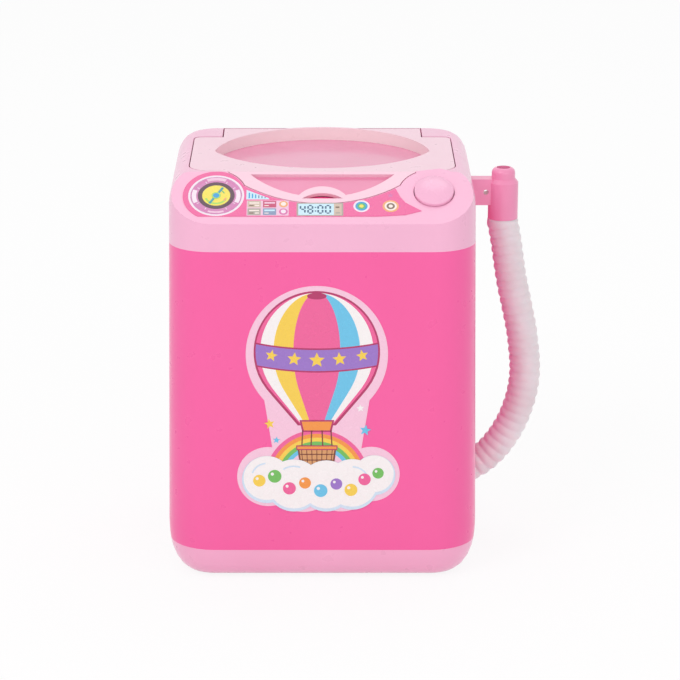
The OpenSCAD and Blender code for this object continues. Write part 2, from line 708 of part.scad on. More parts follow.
module control_label() {
    color("#EE5F9E") difference() {
        on_panel() intersection() {
            union() {
                translate([-dial_x, dial_up, 0]) cylinder(r = pad_r, h = label_t);
                linear_extrude(label_t) polygon([[-dial_x, 0.2], [20, 0.2], [30, 0.9], [36, 2.9], [33, 5], [30.2, 7],
                    [28.3, 10], [26.3, 15], [-28, 20], [-dial_x, 20]]);
            }
            translate([-body_w / 2, 0.2, -cut]) cube([body_w, ridge_up - 0.4, 2]);
        }
        lid_slope(lid_gap + 0.3, -1, 1);
    }
}

module front_decal() {
    color("#FBD3E4") on_front() {
        translate([-2, 89, 0]) cylinder(r = 26, h = label_t, $fn = 96);
        linear_extrude(label_t) polygon([[-22, 76], [18, 76], [13, 44], [-17, 44]]);
        for (p = [[-20, 42, 11.5], [-7, 41, 12.8], [7, 41, 12.6], [18, 43, 10.6]])
            translate([p[0], p[1], 0]) cylinder(r = p[2], h = label_t);
    }
}

module lid() {
    color(lid_pink) difference() {
        union() {
            lid_deck(0, body_h - lid_t, body_h, lid_back - swing_gap);
            difference() {
                lid_deck(0, lid_low, body_h - lid_t / 2, lid_back - swing_gap);
                lid_deck(-skirt_t, lid_low - cut, body_h, lid_back - swing_gap);
                translate([-body_w, -body_d, 0]) cube([2 * body_w, body_d + ridge_y + 4, 2 * body_h]);
            }
            intersection() {
                lid_slope(0, -lid_t, 0);
                translate([-body_w, -body_d, 0]) cube([2 * body_w, body_d + ridge_y + 0.8, body_h]);
            }
            difference() {
                dish(window_t, dish_floor, body_h - lid_t / 2);
                translate([-body_w, -body_d, 0]) cube([2 * body_w, body_d + ridge_y + 1.6, 2 * body_h]);
            }
            translate([0, hinge_y, hinge_z]) rotate([0, 90, 0]) {
                cylinder(r = knuckle_r, h = tongue_w, center = true);
                cylinder(r = trunnion_r, h = tongue_w + 2 * trunnion_l, center = true);
            }
            translate([-tongue_w / 2, hinge_y - knuckle_r, hinge_z]) cube([tongue_w, knuckle_r + tongue_end, knuckle_r]);
            dish_bead();
        }
        over_panel(0);
        dish(0, dish_floor - cut, body_h + 2);
        dish(window_t, window_low, dish_floor);
        difference() {
            facet(0, -2 * lid_t, lid_t);
            on_panel(0, arch_up, -3 * lid_t) cylinder(r = arch_r, h = 6 * lid_t);
        }
        finger_notch(0, -2 * lid_t, lid_t);
    }
}

module lid_window() {
    web_w = 44;
    web_back = dish_y - dish_front_reach - window_t - 0.3;
    color(glass_pink, 0.6) difference() {
        union() {
            dish(window_t, window_low, dish_floor);
            intersection() {
                facet(1.4, -lid_t - window_t, -lid_t);
                translate([-body_w / 2, -body_d, 0]) cube([body_w, 2 * body_d, body_h - lid_t]);
            }
            translate([-web_w / 2, ridge_y + 1.4, window_low])
                cube([web_w, dish_y - dish_front_reach - ridge_y + 2.26, window_t]);
            difference() {
                union() {
                    translate([-web_w / 2, ridge_y + 1.4, window_low])
                        cube([web_w, web_back - ridge_y - 1.4, body_h - lid_t - window_low]);
                    translate([-web_w / 2, ridge_y - 1, dish_floor + 0.3])
                        cube([web_w, web_back - ridge_y + 1, body_h - lid_t - dish_floor - 0.3]);
                }
                over_panel(lid_t);
            }
        }
        finger_notch(0.8, -3 * lid_t, 1);
    }
}

module power_button() {
    dome_r = (button_r * button_r + 1.4 * 1.4) / (2 * 1.4);
    color(pale_pink) on_panel(button_x, button_up) {
        translate([0, 0, flange_top]) cylinder(r = button_r, h = button_rise - 1.4 - flange_top);
        intersection() {
            translate([0, 0, flange_top - flange_t]) cylinder(r = flange_r, h = flange_t);
            translate([-flange_r, -4.5, flange_top - flange_t - cut]) cube([2 * flange_r, 9, flange_t + 2 * cut]);
        }
        translate([0, 0, stem_end]) cylinder(r = stem_r, h = flange_top - flange_t - stem_end);
        intersection() {
            translate([0, 0, button_rise - dome_r]) sphere(r = dome_r, $fn = 96);
            translate([0, 0, button_rise - 1.4]) cylinder(r = button_r, h = 2);
        }
    }
}

module switch_plunger() {
    color("white") on_panel(button_x, button_up) translate([-plunger_w / 2, -plunger_w / 2, plunger_end])
        cube([plunger_w, plunger_w, stem_end - plunger_end]);
}

module push_switch() {
    hole = plunger_w + 0.4;
    color("#3A3F48") on_panel(button_x, button_up, switch_top) difference() {
        union() {
            translate([-switch_size / 2, -switch_size / 2, -switch_l]) cube([switch_size, switch_size, switch_l]);
            translate([-switch_post_x - 2.2, -2.2, -1.2]) cube([2 * switch_post_x + 4.4, 4.4, 1.2]);
            for (s = [-1, 1]) translate([s * 2.4 - 0.3, -0.8, -switch_l - 2]) cube([0.6, 1.6, 2 + cut]);
        }
        translate([-hole / 2, -hole / 2, -switch_l + 1.5]) cube([hole, hole, switch_l]);
        for (s = [-1, 1]) translate([s * switch_post_x, 0, -2]) cylinder(r = 0.9, h = 3);
    }
}

module switch_screws() {
    color(steel) on_panel(button_x, button_up, switch_top - 1.2) for (s = [-1, 1])
        translate([s * switch_post_x, 0, 0]) screw_up(0.8, 5, 1.7, 1.1);
}

module battery_door() {
    grip_rows = 5;
    color(hot_pink) difference() {
        union() {
            on_back(-door_w / 2, door_low, -wall) cube([door_w, door_h, wall]);
            on_back(0, tab_up, -wall) cylinder(r = tab_r, h = wall);
            on_back(0, door_low, -door_axis_in) rotate([0, 90, 0]) {
                cylinder(r = door_axis_in, h = door_w, center = true);
                cylinder(r = 0.8, h = door_w + 5.4, center = true);
            }
        }
        on_back(0, door_screw_up, -wall - cut) cylinder(r = 1.11, h = wall + 2 * cut);
        on_back(0, door_screw_up, -screw_sink) cylinder(r = 2.5, h = wall);
        for (i = [0:grip_rows - 1]) on_back(-9, door_top - 12 + 2 * i, -0.4) cube([18, 1, 1]);
    }
}

module door_screw() {
    color(steel) on_back(0, door_screw_up, -screw_sink) mirror([0, 0, 1]) screw_up(1.1, 5.2 - screw_sink, 2.3, 1);
}

module battery_box() {
    half = box_in + box_wall;
    color("#F4F4F0") difference() {
        union() {
            translate([-half, box_front, box_z]) cube([2 * half, box_back - box_front, box_top - box_z]);
            both_sides() translate([half - 9, box_front + 2, floor_z]) cube([4, box_back - box_front - 6, box_z - floor_z + cut]);
        }
        translate([-box_in, box_front + box_wall, box_z + box_wall])
            cube([2 * box_in, box_back, box_top - box_z - 2 * box_wall]);
        both_sides() translate([box_in - cut, cell_y - 1.2, cell_z1 - 1.2]) cube([box_wall + 2 * cut, 2.4, 2.4]);
    }
}

// Cell lying along X with its nub at the right-hand end
module cell(tint) {
    color(tint) rotate([0, 90, 0]) {
        cylinder(r = cell_r, h = cell_l - 1);
        translate([0, 0, cell_l - 1]) cylinder(r = 2.6, h = 1);
    }
}

module battery_cell_1() {
    translate([box_in - contact_t - cell_l, cell_y, cell_z1]) cell("#3E7D4A");
}

module battery_cell_2() {
    mirror([1, 0, 0]) translate([box_in - contact_t - cell_l, cell_y, cell_z2]) cell("#3E7D4A");
}

module contact_plates() {
    high = box_top - box_z - 2 * box_wall;
    color(steel) {
        translate([-box_in, cell_y - 4, box_z + box_wall]) cube([contact_t, 8, high / 2 - 1]);
        translate([-box_in, cell_y - 4, box_z + box_wall + high / 2 + 1]) cube([contact_t, 8, high / 2 - 1]);
        translate([box_in - contact_t, cell_y - 4, box_z + box_wall]) cube([contact_t, 8, high / 2 - 1]);
        translate([box_in - contact_t, cell_y - 4, box_z + box_wall + high / 2 + 1]) cube([contact_t, 8, high / 2 - 1]);
        both_sides() translate([box_in - contact_t, cell_y - 0.8, cell_z1 - 0.8]) cube([box_wall + contact_t + 0.1, 1.6, 1.6]);
    }
}

// Conical contact spring along X
module contact_spring(z, turn) {
    coils = 2.5;
    wire = 0.35;
    steps = 30;
    rise = spring_l - 2 * wire;
    rotate([0, 0, turn]) translate([-box_in + contact_t + wire, turn == 0 ? cell_y : -cell_y, z])
        swept_tube([for (i = [0:steps]) let (s = i / steps, r = 5 - 2.2 * s, a = 360 * coils * s)
            [rise * s, r * cos(a), r * sin(a)]], wire, 6, [1, 0, 0]);
}

module contact_springs() {
    color(steel) {
        contact_spring(cell_z1, 0);
        contact_spring(cell_z2, 180);
    }
}

module wash_tub() {
    color("#F7C9DC") difference() {
        translate([0, drum_y, 0]) union() {
            pipe(tub_r, tub_in_r, tub_base, tub_rim);
            translate([0, 0, tub_base]) cylinder(r = tub_r, h = tub_floor - tub_base, $fn = 96);
            pipe(tub_r + tub_flange, tub_in_r, tub_rim - 2, tub_rim);
            translate([0, -drum_y, 0]) four_ears() translate([0, 0, tub_rim - 2]) cylinder(r = 2.6, h = 2);
            translate([0, 0, tub_base - bush_drop]) cylinder(r = bush_r + 2.2, h = bush_drop + cut);
            for (s = [-1, 1]) for (y = [plate_front + 4, plate_back - 4])
                translate([s * post_x, y - drum_y, plate_z + plate_t]) cylinder(r = post_r, h = tub_base - plate_z - plate_t + cut);
            translate([elbow_x, hose_y - drum_y, tub_base - 4]) cylinder(r = elbow_r - 1.2, h = 4 + cut);
        }
        translate([0, drum_y, tub_base - bush_drop - cut]) cylinder(r = bush_r, h = 2 * wall + tub_floor - tub_base);
        four_ears() translate([0, 0, tub_rim - 3]) cylinder(r = 0.9, h = 4);
        for (s = [-1, 1]) for (y = [plate_front + 4, plate_back - 4])
            translate([s * post_x, y, plate_z]) cylinder(r = 0.8, h = tub_base - plate_z - 0.5);
        translate([elbow_x, hose_y, tub_base - 5]) cylinder(r = drain_bore_r - 0.8, h = 8);
    }
}

module tub_screws() {
    color(steel) four_ears() translate([0, 0, tub_rim - 2]) screw_up(0.8, 5.4, 1.8, 1.2);
}

module shaft_bush() {
    color("#C99A54") translate([0, drum_y, 0])
        pipe(bush_r, spindle_r + run_gap, tub_base - bush_drop, tub_floor);
}

module shaft_seal() {
    color(dark_rubber) translate([0, drum_y, 0]) {
        pipe(4.4, spindle_r + run_gap, tub_floor, tub_floor + 0.8);
        pipe(2.6, spindle_r + run_gap, tub_floor + 0.8 - 0.01, tub_floor + 1.7);
    }
}

module spin_basket() {
    rim = basket_z + basket_h;
    inner = basket_r - tub_wall + 0.2;
    row_gap = (basket_h - 18) / (drain_rows - 1);
    color("#FCE4EE") translate([0, drum_y, 0]) {
        difference() {
            pipe(basket_r, inner, basket_z, rim);
            for (row = [0:drain_rows - 1], col = [0:drain_cols - 1])
                translate([0, 0, basket_z + 8 + row * row_gap]) rotate([90, 0, 360 / drain_cols * (col + (row % 2) / 2)])
                    translate([0, 0, inner - 2]) cylinder(r = drain_hole_r, h = 5, $fn = 16);
        }
        pipe(basket_r - 0.2, inner - 1.4, rim - 1.6, rim);
        difference() {
            translate([0, 0, basket_z]) cylinder(r = inner + 0.1, h = basket_floor - basket_z, $fn = 96);
            translate([0, 0, basket_z - cut]) cylinder(r = spindle_r + 0.01, h = 4);
            for (a = [0:45:315]) rotate([0, 0, a]) translate([pulsator_r + 3.6, 0, basket_z - cut])
                cylinder(r = drain_hole_r, h = 4, $fn = 16);
        }
    }
}

module pulsator() {
    color("#9CCBEF") translate([0, drum_y, basket_floor]) difference() {
        union() {
            cylinder(r = pulsator_r, h = 1.6, $fn = 96);
            translate([0, 0, 1.6]) cylinder(r1 = pulsator_r - 2, r2 = hub_r, h = 2.4, $fn = 96);
            cylinder(r = hub_r, h = hub_z - basket_floor);
            for (v = [0:vanes - 1]) rotate([0, 0, 360 * v / vanes]) vane();
        }
        translate([0, 0, -cut]) cylinder(r = spindle_r + 0.01, h = hub_z - basket_floor - 1 + cut);
        cylinder(r = 0.8, h = 20);
    }
}

// One swept vane of the pulsator, highest beside the hub
module vane() {
    hull() {
        translate([hub_r - 1, 0, 0.8]) cylinder(r1 = 2.4, r2 = 1.2, h = 5.6, $fn = 24);
        translate([pulsator_r - 3, 0, 0.8]) cylinder(r1 = 1.6, r2 = 0.8, h = 1.8, $fn = 24);
    }
}

module pulsator_screw() {
    color(steel) translate([0, drum_y, hub_z]) mirror([0, 0, 1]) screw_up(0.8, 5, 2.4, 1.2);
}

module drive_spindle() {
    color(steel) translate([0, drum_y, 0]) difference() {
        translate([0, 0, plate_z - 1.6]) cylinder(r = spindle_r, h = hub_z - 1 - plate_z + 1.6);
        translate([0, 0, hub_z - 6]) cylinder(r = 0.8, h = 8);
    }
}

module spindle_gear() {
    color("white") translate([0, drum_y, 0]) difference() {
        union() {
            translate([0, 0, gear_z]) linear_extrude(gear_face) polygon(gear_points(gear_teeth, 0));
            translate([0, 0, gear_top - 0.1]) cylinder(r = 2.6, h = 0.6);
        }
        translate([0, 0, gear_z - cut]) cylinder(r = spindle_r + 0.01, h = gear_face + 3);
        for (a = [0:60:300]) rotate([0, 0, a]) translate([pitch_r(gear_teeth) * 0.6, 0, gear_z - cut])
            cylinder(r = 2, h = gear_face + 1, $fn = 24);
    }
}

module motor_pinion() {
    color("#E8C568") translate([0, motor_y, 0]) difference() {
        translate([0, 0, gear_z - 0.2]) linear_extrude(gear_face + 0.4) polygon(gear_points(pinion_teeth, 180 / pinion_teeth));
        translate([0, 0, gear_z - 1]) cylinder(r = motor_shaft_r + 0.01, h = gear_face + 2);
    }
}

module motor_shaft() {
    color(steel) translate([0, motor_y, motor_z + motor_l + run_gap])
        cylinder(r = motor_shaft_r, h = gear_z + gear_face + 0.6 - motor_z - motor_l);
}

module drive_motor() {
    color(steel) translate([0, motor_y, motor_z]) {
        intersection() {
            cylinder(r = motor_w / 2, h = motor_l);
            translate([-motor_w / 2, -motor_d / 2, 0]) cube([motor_w, motor_d, motor_l]);
        }
        for (s = [-1, 1]) translate([s * 4 - 0.8, -0.25, -1.4]) cube([1.6, 0.5, 1.4 + cut]);
    }
}

module gearbox_plate() {
    cup = 1.6;
    fit = 0.05;
    color("#F4F4F0") difference() {
        union() {
            translate([-plate_half_x, plate_front, plate_z]) cube([2 * plate_half_x, plate_back - plate_front, plate_t]);
            translate([0, drum_y, plate_z - 1.6]) cylinder(r = 3.6, h = 2);
            translate([-motor_w / 2 - cup, motor_y - motor_d / 2 - cup, plate_z - 8])
                cube([motor_w + 2 * cup, motor_d + 2 * cup, 8 + cut]);
        }
        translate([-motor_w / 2 - fit, motor_y - motor_d / 2 - fit, plate_z - 9])
            cube([motor_w + 2 * fit, motor_d + 2 * fit, 9]);
        translate([0, motor_y, plate_z - cut]) cylinder(r = motor_shaft_r + 0.8, h = plate_t + 2 * cut);
        translate([0, drum_y, plate_z - 3]) cylinder(r = spindle_r + run_gap, h = plate_t + 4);
        for (s = [-1, 1]) for (y = [plate_front + 4, plate_back - 4])
            translate([s * post_x, y, plate_z - cut]) cylinder(r = 0.9, h = plate_t + 2 * cut);
    }
}

module plate_screws() {
    color(steel) for (s = [-1, 1]) for (y = [plate_front + 4, plate_back - 4])
        translate([s * post_x, y, plate_z]) screw_up(0.8, 6, 1.9, 1.2);
}

module drain_elbow() {
    color("#F4F4F0") difference() {
        union() {
            translate([elbow_x, hose_y, hose_exit_z]) {
                cylinder(r = elbow_r, h = tub_base - hose_exit_z);
                sphere(r = elbow_r);
                rotate([0, 90, 0]) cylinder(r = elbow_r, h = hose_exit_x - elbow_x);
            }
            translate([hose_exit_x - 1.6, hose_y, hose_exit_z]) rotate([0, 90, 0]) cylinder(r = hose_d / 2, h = 1.6);
        }
        translate([elbow_x, hose_y, hose_exit_z]) {
            cylinder(r = drain_bore_r, h = tub_base);
            sphere(r = drain_bore_r);
            rotate([0, 90, 0]) cylinder(r = drain_bore_r, h = body_w);
        }
        translate([elbow_x, hose_y, tub_base - 4]) cylinder(r = elbow_r - 1.2, h = 5);
    }
}

module drain_hose() {
    color(hose_white)
        swept_tube([for (p = hose_points) [p[0], hose_y, p[1]]], hose_d / 2, hose_sides, [0, 1, 0]);
}

module hose_hook() {
    bend = 2;
    color(hook_pink) difference() {
        union() {
            translate([barrel_x, hose_y, 0]) {
                translate([0, 0, barrel_z]) cylinder(r = barrel_r, h = barrel_h - 1.5);
                translate([0, 0, arm_top - 1.5]) cylinder(r1 = barrel_r, r2 = barrel_r - 1.2, h = 1.5);
                translate([0, 0, arm_top - cut]) cylinder(r = neck_r, h = neck_h - bend + cut);
                translate([0, 0, arm_top + neck_h - bend]) rotate_extrude() {
                    square([neck_r - bend, bend]);
                    intersection() {
                        translate([neck_r - bend, 0]) circle(r = bend);
                        square([neck_r, bend]);
                    }
                }
            }
            translate([side_out + 0.3, hose_y - arm_t / 2, arm_z - arm_h / 2])
                cube([barrel_x - side_out - barrel_r + 1.2, arm_t, arm_h]);
            translate([side_out - wall / 2 - peg_l + 0.3, hose_y - peg_t / 2, arm_z - peg_h / 2])
                cube([peg_l + wall, peg_t, peg_h]);
        }
        translate([barrel_x, hose_y, barrel_z - cut]) cylinder(r = mouth_bore_r, h = barrel_h + neck_h + 2 * cut);
        translate([barrel_x - barrel_r - 1, hose_y - arm_t, arm_z]) rotate([-90, 0, 0]) cylinder(r = 1, h = 2 * arm_t, $fn = 24);
    }
}

module lead_red() {
    color("#D8342C") swept_tube(red_route, lead_d / 2, 8, [0.2, 0.9, 0.4]);
}

module lead_white() {
    color("#F2F0EC") swept_tube(white_route, lead_d / 2, 8, [0.9, 0.3, -0.3]);
}

module lead_black() {
    color("#2B2B2E") swept_tube(black_route, lead_d / 2, 8, [0.1, 0.3, 0.95]);
}

base_tray();
rubber_feet();
cabinet();
base_screws();
top_cover();
cover_screws();
control_label();
front_decal();
lid();
lid_window();
power_button();
switch_plunger();
push_switch();
switch_screws();
battery_door();
door_screw();
battery_box();
battery_cell_1();
battery_cell_2();
contact_plates();
contact_springs();
wash_tub();
tub_screws();
shaft_bush();
shaft_seal();
spin_basket();
pulsator();
pulsator_screw();
drive_spindle();
spindle_gear();
motor_pinion();
motor_shaft();
drive_motor();
gearbox_plate();
plate_screws();
drain_elbow();
drain_hose();
hose_hook();
lead_red();
lead_white();
lead_black();
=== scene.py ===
"""Toy washing machine: finishes, printed films, ribbed hose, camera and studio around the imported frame."""

import json
import math

import bmesh
import bpy
from bpy.props import FloatProperty, FloatVectorProperty, IntProperty, PointerProperty
from bpy.types import Operator, Panel, PropertyGroup
from mathutils import Matrix, Vector


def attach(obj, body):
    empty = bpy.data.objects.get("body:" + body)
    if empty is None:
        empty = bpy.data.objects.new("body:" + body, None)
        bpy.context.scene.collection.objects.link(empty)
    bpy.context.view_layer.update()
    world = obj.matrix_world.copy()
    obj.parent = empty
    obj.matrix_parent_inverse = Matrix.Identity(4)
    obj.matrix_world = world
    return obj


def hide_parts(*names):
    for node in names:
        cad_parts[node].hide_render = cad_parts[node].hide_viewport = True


bl_info = {
    "name": "Toy Washing Machine",
    "version": (1, 0, 0),
    "blender": (4, 5, 0),
    "location": "View3D > Sidebar > Washer",
    "description": "Dresses the packed toy washing machine and builds its studio",
    "category": "Object",
}

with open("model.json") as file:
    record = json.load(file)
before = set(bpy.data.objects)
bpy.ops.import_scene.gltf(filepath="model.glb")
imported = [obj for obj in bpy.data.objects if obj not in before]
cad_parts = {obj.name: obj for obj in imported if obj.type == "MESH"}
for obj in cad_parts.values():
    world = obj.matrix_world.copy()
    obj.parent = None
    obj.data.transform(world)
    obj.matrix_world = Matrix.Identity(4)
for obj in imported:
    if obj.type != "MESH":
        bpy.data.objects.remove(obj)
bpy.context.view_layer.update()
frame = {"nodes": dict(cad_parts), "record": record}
NODES = frame["nodes"]
BODY_OF = {}
for body_name, members in frame["record"]["behaviour"]["bodies"].items():
    for member in members:
        BODY_OF[member] = body_name

# Millimetres to metres
MM = 0.001
# The control panel's slope and the cabinet's front wall: X across, Y up the surface, Z outwards
PANEL = Matrix.Translation((0, -47.5 * MM, 139.9 * MM)) @ Matrix.Rotation(math.radians(32), 4, "X")
FRONT = Matrix.Translation((0, -52.5 * MM, 0)) @ Matrix.Rotation(math.radians(90 - 0.79), 4, "X")
# Height of the films above their surface, and of each printed layer above the one below it
FILM = 0.2
LAYER = 0.012
# The drain hose's route in its own upright plane: X and Z in millimetres
HOSE_Y = 8
HOSE_ROUTE = [
    (53, 25), (55.5, 25), (58.2, 25.8), (60.8, 27.3), (63.6, 29.5), (66.2, 32.1), (68.6, 35.1),
    (70.8, 38.4), (72.8, 42), (74.5, 45.8), (75.9, 49.8), (77.1, 54.1), (77.9, 58.6), (78.3, 63.3),
    (78.2, 68.4), (77.6, 74.4), (76.8, 80.4), (75.6, 86.5), (74.3, 92.6), (73.1, 98), (72.1, 103.3),
    (71.3, 108.5), (70.6, 113.3), (69.9, 117.6), (69.2, 121.3), (68.7, 123.9), (68.7, 125.4),
]


def colour_prop(name, description, default):
    """A colour as it is seen on screen."""
    return FloatVectorProperty(
        name=name, description=description, default=default, subtype="COLOR_GAMMA", size=3, min=0, max=1
    )


def length_prop(name, description, default, low, high):
    """A length in metres."""
    return FloatProperty(
        name=name, description=description, default=default, min=low, max=high, unit="LENGTH"
    )


def power_prop(name, description, default):
    """A lamp's power in watts."""
    return FloatProperty(name=name, description=description, default=default, min=0, max=80, unit="POWER")


class WasherPlastics(PropertyGroup):
    """Colours and gloss of the mouldings."""

    cabinet: colour_prop("Cabinet", "Colour of the cabinet and the battery door", (1.0, 0.37, 0.655))
    cover: colour_prop("Cover", "Colour of the top cover and the push button", (0.985, 0.73, 0.85))
    base: colour_prop("Base", "Colour of the base tray", (1.0, 0.7, 0.835))
    lid: colour_prop("Lid", "Colour of the lid frame", (0.995, 0.82, 0.885))
    window: colour_prop("Window", "Tint of the see-through window", (1.0, 0.62, 0.765))
    # The hook's pink is partly its own colour and partly painted shade: it is darker than the cover as read
    # where the hook stands in shade
    hook: colour_prop("Hook", "Colour of the hose hook", (0.99, 0.6, 0.76))
    hose: colour_prop("Hose", "Colour of the drain hose", (0.985, 0.925, 0.945))
    tub: colour_prop("Tub", "Colour of the wash tub", (0.97, 0.79, 0.86))
    basket: colour_prop("Basket", "Colour of the spin basket", (0.99, 0.9, 0.935))
    pulsator: colour_prop("Pulsator", "Colour of the pulsator", (0.6, 0.79, 0.93))
    roughness: FloatProperty(
        name="Roughness", description="Roughness of the glossy mouldings", default=0.3, min=0.05, max=0.8,
        subtype="FACTOR",
    )
    edge: length_prop("Edge round", "Round along the mouldings' edges", 0.00035, 0.0001, 0.001)


class WasherPrints(PropertyGroup):
    """Colours of the printed films, and the painted shade behind the finger notch."""

    sticker: colour_prop("Panel film", "Colour of the film on the control panel", (0.945, 0.36, 0.62))
    # Deep magenta behind the finger notch: painted shade of the pink well
    slot: colour_prop("Slot pad", "Colour behind the finger notch", (0.98, 0.16, 0.52))
    border: colour_prop("Border", "Colour of the front film's border", (0.995, 0.8, 0.89))
    thickness: length_prop("Ink thickness", "Thickness of each printed layer", 0.000008, 0.000002, 0.00005)


class WasherHose(PropertyGroup):
    """Sizes of the ribbed drain hose."""

    diameter: length_prop("Diameter", "Outside diameter over the ribs", 0.012, 0.008, 0.014)
    pitch: length_prop("Rib pitch", "Distance from rib to rib", 0.0034, 0.002, 0.006)
    depth: length_prop("Groove depth", "Depth of the grooves", 0.00055, 0.0002, 0.0015)
    sides: IntProperty(name="Sides", description="Sides of each ring", default=36, min=12, max=64)


class WasherStage(PropertyGroup):
    """Camera, lamps and background."""

    camera_back: length_prop("Camera distance", "Camera's distance in front of the origin", 1.07305, 0.3, 4)
    camera_height: length_prop("Camera height", "Camera's height above the floor", 0.4058, 0.05, 2)
    aim_height: length_prop("Aim height", "Height the camera is aimed at", 0.075, 0, 0.2)
    lens: FloatProperty(
        name="Lens", description="Focal length in millimetres", default=155.03, min=20, max=400
    )
    world: FloatProperty(name="World", description="Strength of the even light", default=0.62, min=0, max=2)
    key: power_prop("Key lamp", "Power of the large lamp at the upper left", 7.0)
    fill: power_prop("Fill lamp", "Power of the lamp in front", 4.0)
    top: power_prop("Top lamp", "Power of the lamp overhead", 3.0)


def linear(colour, alpha=1.0):
    """A screen colour as the shader's own linear one."""
    return [c / 12.92 if c <= 0.04045 else ((c + 0.055) / 1.055) ** 2.4 for c in colour] + [alpha]


def shaded(colour, factor):
    """A screen colour made darker or lighter."""
    return tuple(min(1.0, max(0.0, c * factor)) for c in colour)


def new_material(name):
    """An empty node material with its shader, and the coordinates of the piece."""
    material = bpy.data.materials.new(name)
    material.use_nodes = True
    nodes = material.node_tree.nodes
    shader = nodes["Principled BSDF"]
    place = nodes.new("ShaderNodeTexCoord")
    return material, nodes, material.node_tree.links, shader, place


def noise_at(nodes, links, place, scale, detail=3.0, roughness=0.5, stretch=None):
    """Noise on the piece's own coordinates, at a scale in cycles per metre."""
    noise = nodes.new("ShaderNodeTexNoise")
    noise.inputs["Scale"].default_value = scale
    noise.inputs["Detail"].default_value = detail
    noise.inputs["Roughness"].default_value = roughness
    source = place.outputs["Object"]
    if stretch is not None:
        mapping = nodes.new("ShaderNodeMapping")
        mapping.inputs["Scale"].default_value = stretch
        links.new(source, mapping.inputs["Vector"])
        source = mapping.outputs["Vector"]
    links.new(source, noise.inputs["Vector"])
    return noise


def spread(nodes, links, noise, low, high):
    """The noise's value moved into a range."""
    ramp = nodes.new("ShaderNodeMapRange")
    ramp.inputs["From Min"].default_value = 0.3
    ramp.inputs["From Max"].default_value = 0.7
    ramp.inputs["To Min"].default_value = low
    ramp.inputs["To Max"].default_value = high
    links.new(noise.outputs["Fac"], ramp.inputs["Value"])
    return ramp.outputs["Result"]


def mottle(nodes, links, noise, colour, change, socket):
    """The colour, drifting a little with the noise."""
    mix = nodes.new("ShaderNodeMix")
    mix.data_type = "RGBA"
    mix.inputs[6].default_value = linear(shaded(colour, 1 - change))
    mix.inputs[7].default_value = linear(shaded(colour, 1 + change))
    links.new(spread(nodes, links, noise, 0.0, 1.0), mix.inputs[0])
    links.new(mix.outputs[2], socket)


def bumps(nodes, links, noise, strength, distance, shader):
    """Fine bumps from the noise."""
    bump = nodes.new("ShaderNodeBump")
    bump.inputs["Strength"].default_value = strength
    bump.inputs["Distance"].default_value = distance
    links.new(noise.outputs["Fac"], bump.inputs["Height"])
    links.new(bump.outputs["Normal"], shader.inputs["Normal"])


def moulded_plastic(name, colour, roughness=0.3, coat=0.25, change=0.008, grain=0.02):
    """Moulded plastic: slow drift of colour from the flow in the mould, uneven gloss and a fine skin."""
    material, nodes, links, shader, place = new_material(name)
    flow = noise_at(nodes, links, place, 34, 4, 0.55, (1.0, 1.0, 0.45))
    mottle(nodes, links, flow, colour, change, shader.inputs["Base Color"])
    smears = noise_at(nodes, links, place, 210, 3)
    links.new(spread(nodes, links, smears, roughness - 0.03, roughness + 0.04), shader.inputs["Roughness"])
    skin = noise_at(nodes, links, place, 620, 2)
    bumps(nodes, links, skin, grain, 0.00006, shader)
    shader.inputs["Coat Weight"].default_value = coat
    shader.inputs["Coat Roughness"].default_value = 0.12
    shader.inputs["IOR"].default_value = 1.5
    return material


def clear_plastic(name, colour, clearness, roughness=0.16):
    """Tinted see-through plastic with a faint flow pattern."""
    material, nodes, links, shader, place = new_material(name)
    flow = noise_at(nodes, links, place, 40, 3)
    mottle(nodes, links, flow, colour, 0.02, shader.inputs["Base Color"])
    haze = noise_at(nodes, links, place, 160, 3)
    links.new(spread(nodes, links, haze, roughness - 0.04, roughness + 0.05), shader.inputs["Roughness"])
    skin = noise_at(nodes, links, place, 900, 2)
    bumps(nodes, links, skin, 0.04, 0.00008, shader)
    shader.inputs["Transmission Weight"].default_value = clearness
    shader.inputs["IOR"].default_value = 1.45
    shader.inputs["Coat Weight"].default_value = 0.1
    shader.inputs["Coat Roughness"].default_value = 0.08
    return material


def soft_hose_plastic(name, colour):
    """Milky flexible plastic of the hose."""
    material, nodes, links, shader, place = new_material(name)
    cloud = noise_at(nodes, links, place, 90, 4)
    mottle(nodes, links, cloud, colour, 0.03, shader.inputs["Base Color"])
    haze = noise_at(nodes, links, place, 500, 2)
    links.new(spread(nodes, links, haze, 0.3, 0.42), shader.inputs["Roughness"])
    skin = noise_at(nodes, links, place, 1800, 2)
    bumps(nodes, links, skin, 0.06, 0.00008, shader)
    shader.inputs["Transmission Weight"].default_value = 0.08
    shader.inputs["Subsurface Weight"].default_value = 0.25
    shader.inputs["Subsurface Radius"].default_value = (0.003, 0.002, 0.002)
    shader.inputs["Subsurface Scale"].default_value = 1.0
    shader.inputs["IOR"].default_value = 1.45
    return material


def printed_film(name, colour, roughness=0.26, change=0.012):
    """Printed film: even ink with the print's fine grain, under a clear gloss."""
    material, nodes, links, shader, place = new_material(name)
    dots = noise_at(nodes, links, place, 3200, 1)
    mottle(nodes, links, dots, colour, change, shader.inputs["Base Color"])
    waves = noise_at(nodes, links, place, 260, 2)
    links.new(spread(nodes, links, waves, roughness - 0.04, roughness + 0.05), shader.inputs["Roughness"])
    bumps(nodes, links, waves, 0.03, 0.00005, shader)
    shader.inputs["Coat Weight"].default_value = 0.35
    shader.inputs["Coat Roughness"].default_value = 0.1
    return material


def metal(name, colour, roughness, stretch, change=0.06):
    """Bare or plated metal with fine tool marks along one direction."""
    material, nodes, links, shader, place = new_material(name)
    marks = noise_at(nodes, links, place, 700, 4, 0.6, stretch)
    mottle(nodes, links, marks, colour, change, shader.inputs["Base Color"])
    links.new(spread(nodes, links, marks, roughness - 0.06, roughness + 0.1), shader.inputs["Roughness"])
    bumps(nodes, links, marks, 0.08, 0.00003, shader)
    shader.inputs["Metallic"].default_value = 1.0
    return material


